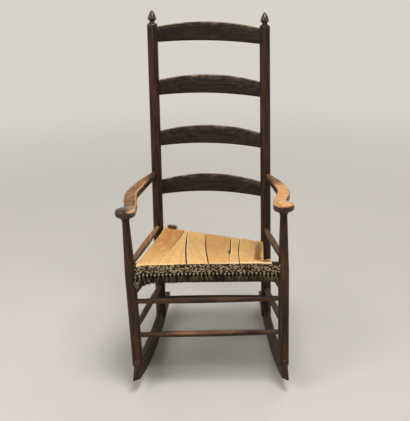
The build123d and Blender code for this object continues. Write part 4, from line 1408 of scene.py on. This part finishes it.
class CHAIR_OT_set_stage(bpy.types.Operator):
    """Make the pale floor, the soft lamps and the camera"""

    bl_idname = "chair.set_stage"
    bl_label = "Set Stage"

    def lamp(self, context, name, place, aim, size, power):
        """A large soft lamp that points at a place on the chair."""
        data = bpy.data.lights.new(name, "AREA")
        data.shape = "DISK"
        data.size = size
        data.energy = power
        lamp = bpy.data.objects.new(name, data)
        lamp.location = place
        lamp.rotation_euler = (Vector(aim) - Vector(place)).to_track_quat("-Z", "Y").to_euler()
        context.scene.collection.objects.link(lamp)

    def execute(self, context):
        settings = context.scene.chair_stage
        scene = context.scene
        finish = Finish("pale_floor", roughness=0.85, Specular_IOR_Level=0.2)
        speck = finish.noise(finish.place, 6, 4.0, 0.6)
        finish.feed(Base_Color=finish.mix(
            speck, [0.95 * tone for tone in settings.floor_colour], settings.floor_colour))
        far = finish.node("ShaderNodeVectorMath", {"operation": "LENGTH"}, {
            0: finish.place}, output="Value")
        glow = finish.node("ShaderNodeEmission", {}, {"Color": paint(settings.backdrop_colour)})
        shown = finish.node("ShaderNodeMixShader", {}, {
            0: far.span(0.8, 3.0) * shown_rays(finish),
            1: Signal(finish, finish.shader.outputs[0]), 2: glow})
        finish.tree.links.new(shown.socket, finish.tree.nodes["Material Output"].inputs["Surface"])
        mesh = bpy.data.meshes.new("floor")
        reach = 30.0
        mesh.from_pydata([(-reach, -reach, 0), (reach, -reach, 0), (reach, reach, 0), (-reach, reach, 0)],
                         [], [(0, 1, 2, 3)])
        mesh.materials.append(finish.material)
        floor = bpy.data.objects.new("floor", mesh)
        scene.collection.objects.link(floor)

        self.lamp(context, "key_lamp", (0.45, -0.75, 3.0), (0, 0, 0.4), 1.3, settings.key_power)
        self.lamp(context, "fill_lamp", (-1.9, -1.3, 2.1), (0, 0, 0.45), 1.6, settings.fill_power)
        self.lamp(context, "back_lamp", (1.2, 1.9, 2.7), (0, 0, 0.5), 1.4, settings.back_power)

        world = bpy.data.worlds.new("soft_light")
        world.use_nodes = True
        sky = Graph(world.node_tree)
        sky.tree.nodes.remove(sky.tree.nodes["Background"])
        light = sky.node("ShaderNodeBackground", {}, {
            "Color": (1.0, 0.985, 0.96, 1.0), "Strength": settings.sky_strength})
        backdrop = sky.node("ShaderNodeBackground", {}, {"Color": paint(settings.backdrop_colour)})
        shown = sky.node("ShaderNodeMixShader", {}, {0: shown_rays(sky), 1: light, 2: backdrop})
        sky.tree.links.new(shown.socket, sky.tree.nodes["World Output"].inputs["Surface"])
        scene.world = world

        camera = bpy.data.cameras.new("camera")
        camera.lens = 76.96
        camera.sensor_width = 36.0
        eye = bpy.data.objects.new("camera", camera)
        eye.location = (0.0881, -2.4211, 1.4149)
        eye.rotation_euler = Euler((radians(67.961), radians(1.3898), radians(1.6569)), "XYZ")
        scene.collection.objects.link(eye)
        scene.camera = eye
        scene.view_settings.view_transform = "Standard"
        return {"FINISHED"}


class CHAIR_PT_panel(bpy.types.Panel):
    """The chair's operators, in the order in which they run"""

    bl_label = "Rocking Armchair"
    bl_idname = "CHAIR_PT_panel"
    bl_space_type = "VIEW_3D"
    bl_region_type = "UI"
    bl_category = "Chair"

    def draw(self, context):
        for step in STEPS:
            self.layout.operator(step.bl_idname)


STEPS = (
    CHAIR_OT_set_stage,
    CHAIR_OT_finish_frame,
    CHAIR_OT_bend_slats,
    CHAIR_OT_shape_arms,
    CHAIR_OT_saw_rockers,
    CHAIR_OT_stretch_seat,
    CHAIR_OT_line_seat,
    CHAIR_OT_stuff_seat,
    CHAIR_OT_weave_band,
    CHAIR_OT_hang_fringe,
    CHAIR_OT_finish_tacks,
)
GROUPS = {
    "chair_wood": ChairWoodSettings,
    "chair_seat": ChairSeatSettings,
    "chair_trim": ChairTrimSettings,
    "chair_stage": ChairStageSettings,
}


def register():
    """Adds the settings, the operators and the panel."""
    for name, group in GROUPS.items():
        bpy.utils.register_class(group)
        setattr(bpy.types.Scene, name, bpy.props.PointerProperty(type=group))
    for step in STEPS:
        bpy.utils.register_class(step)
    bpy.utils.register_class(CHAIR_PT_panel)


def unregister():
    """Removes what register added."""
    bpy.utils.unregister_class(CHAIR_PT_panel)
    for step in reversed(STEPS):
        bpy.utils.unregister_class(step)
    for name, group in GROUPS.items():
        delattr(bpy.types.Scene, name)
        bpy.utils.unregister_class(group)


def main():
    """Builds the whole scene."""
    register()
    for step in STEPS:
        category, name = step.bl_idname.split(".")
        getattr(getattr(bpy.ops, category), name)()


if __name__ == "__main__":
    main()
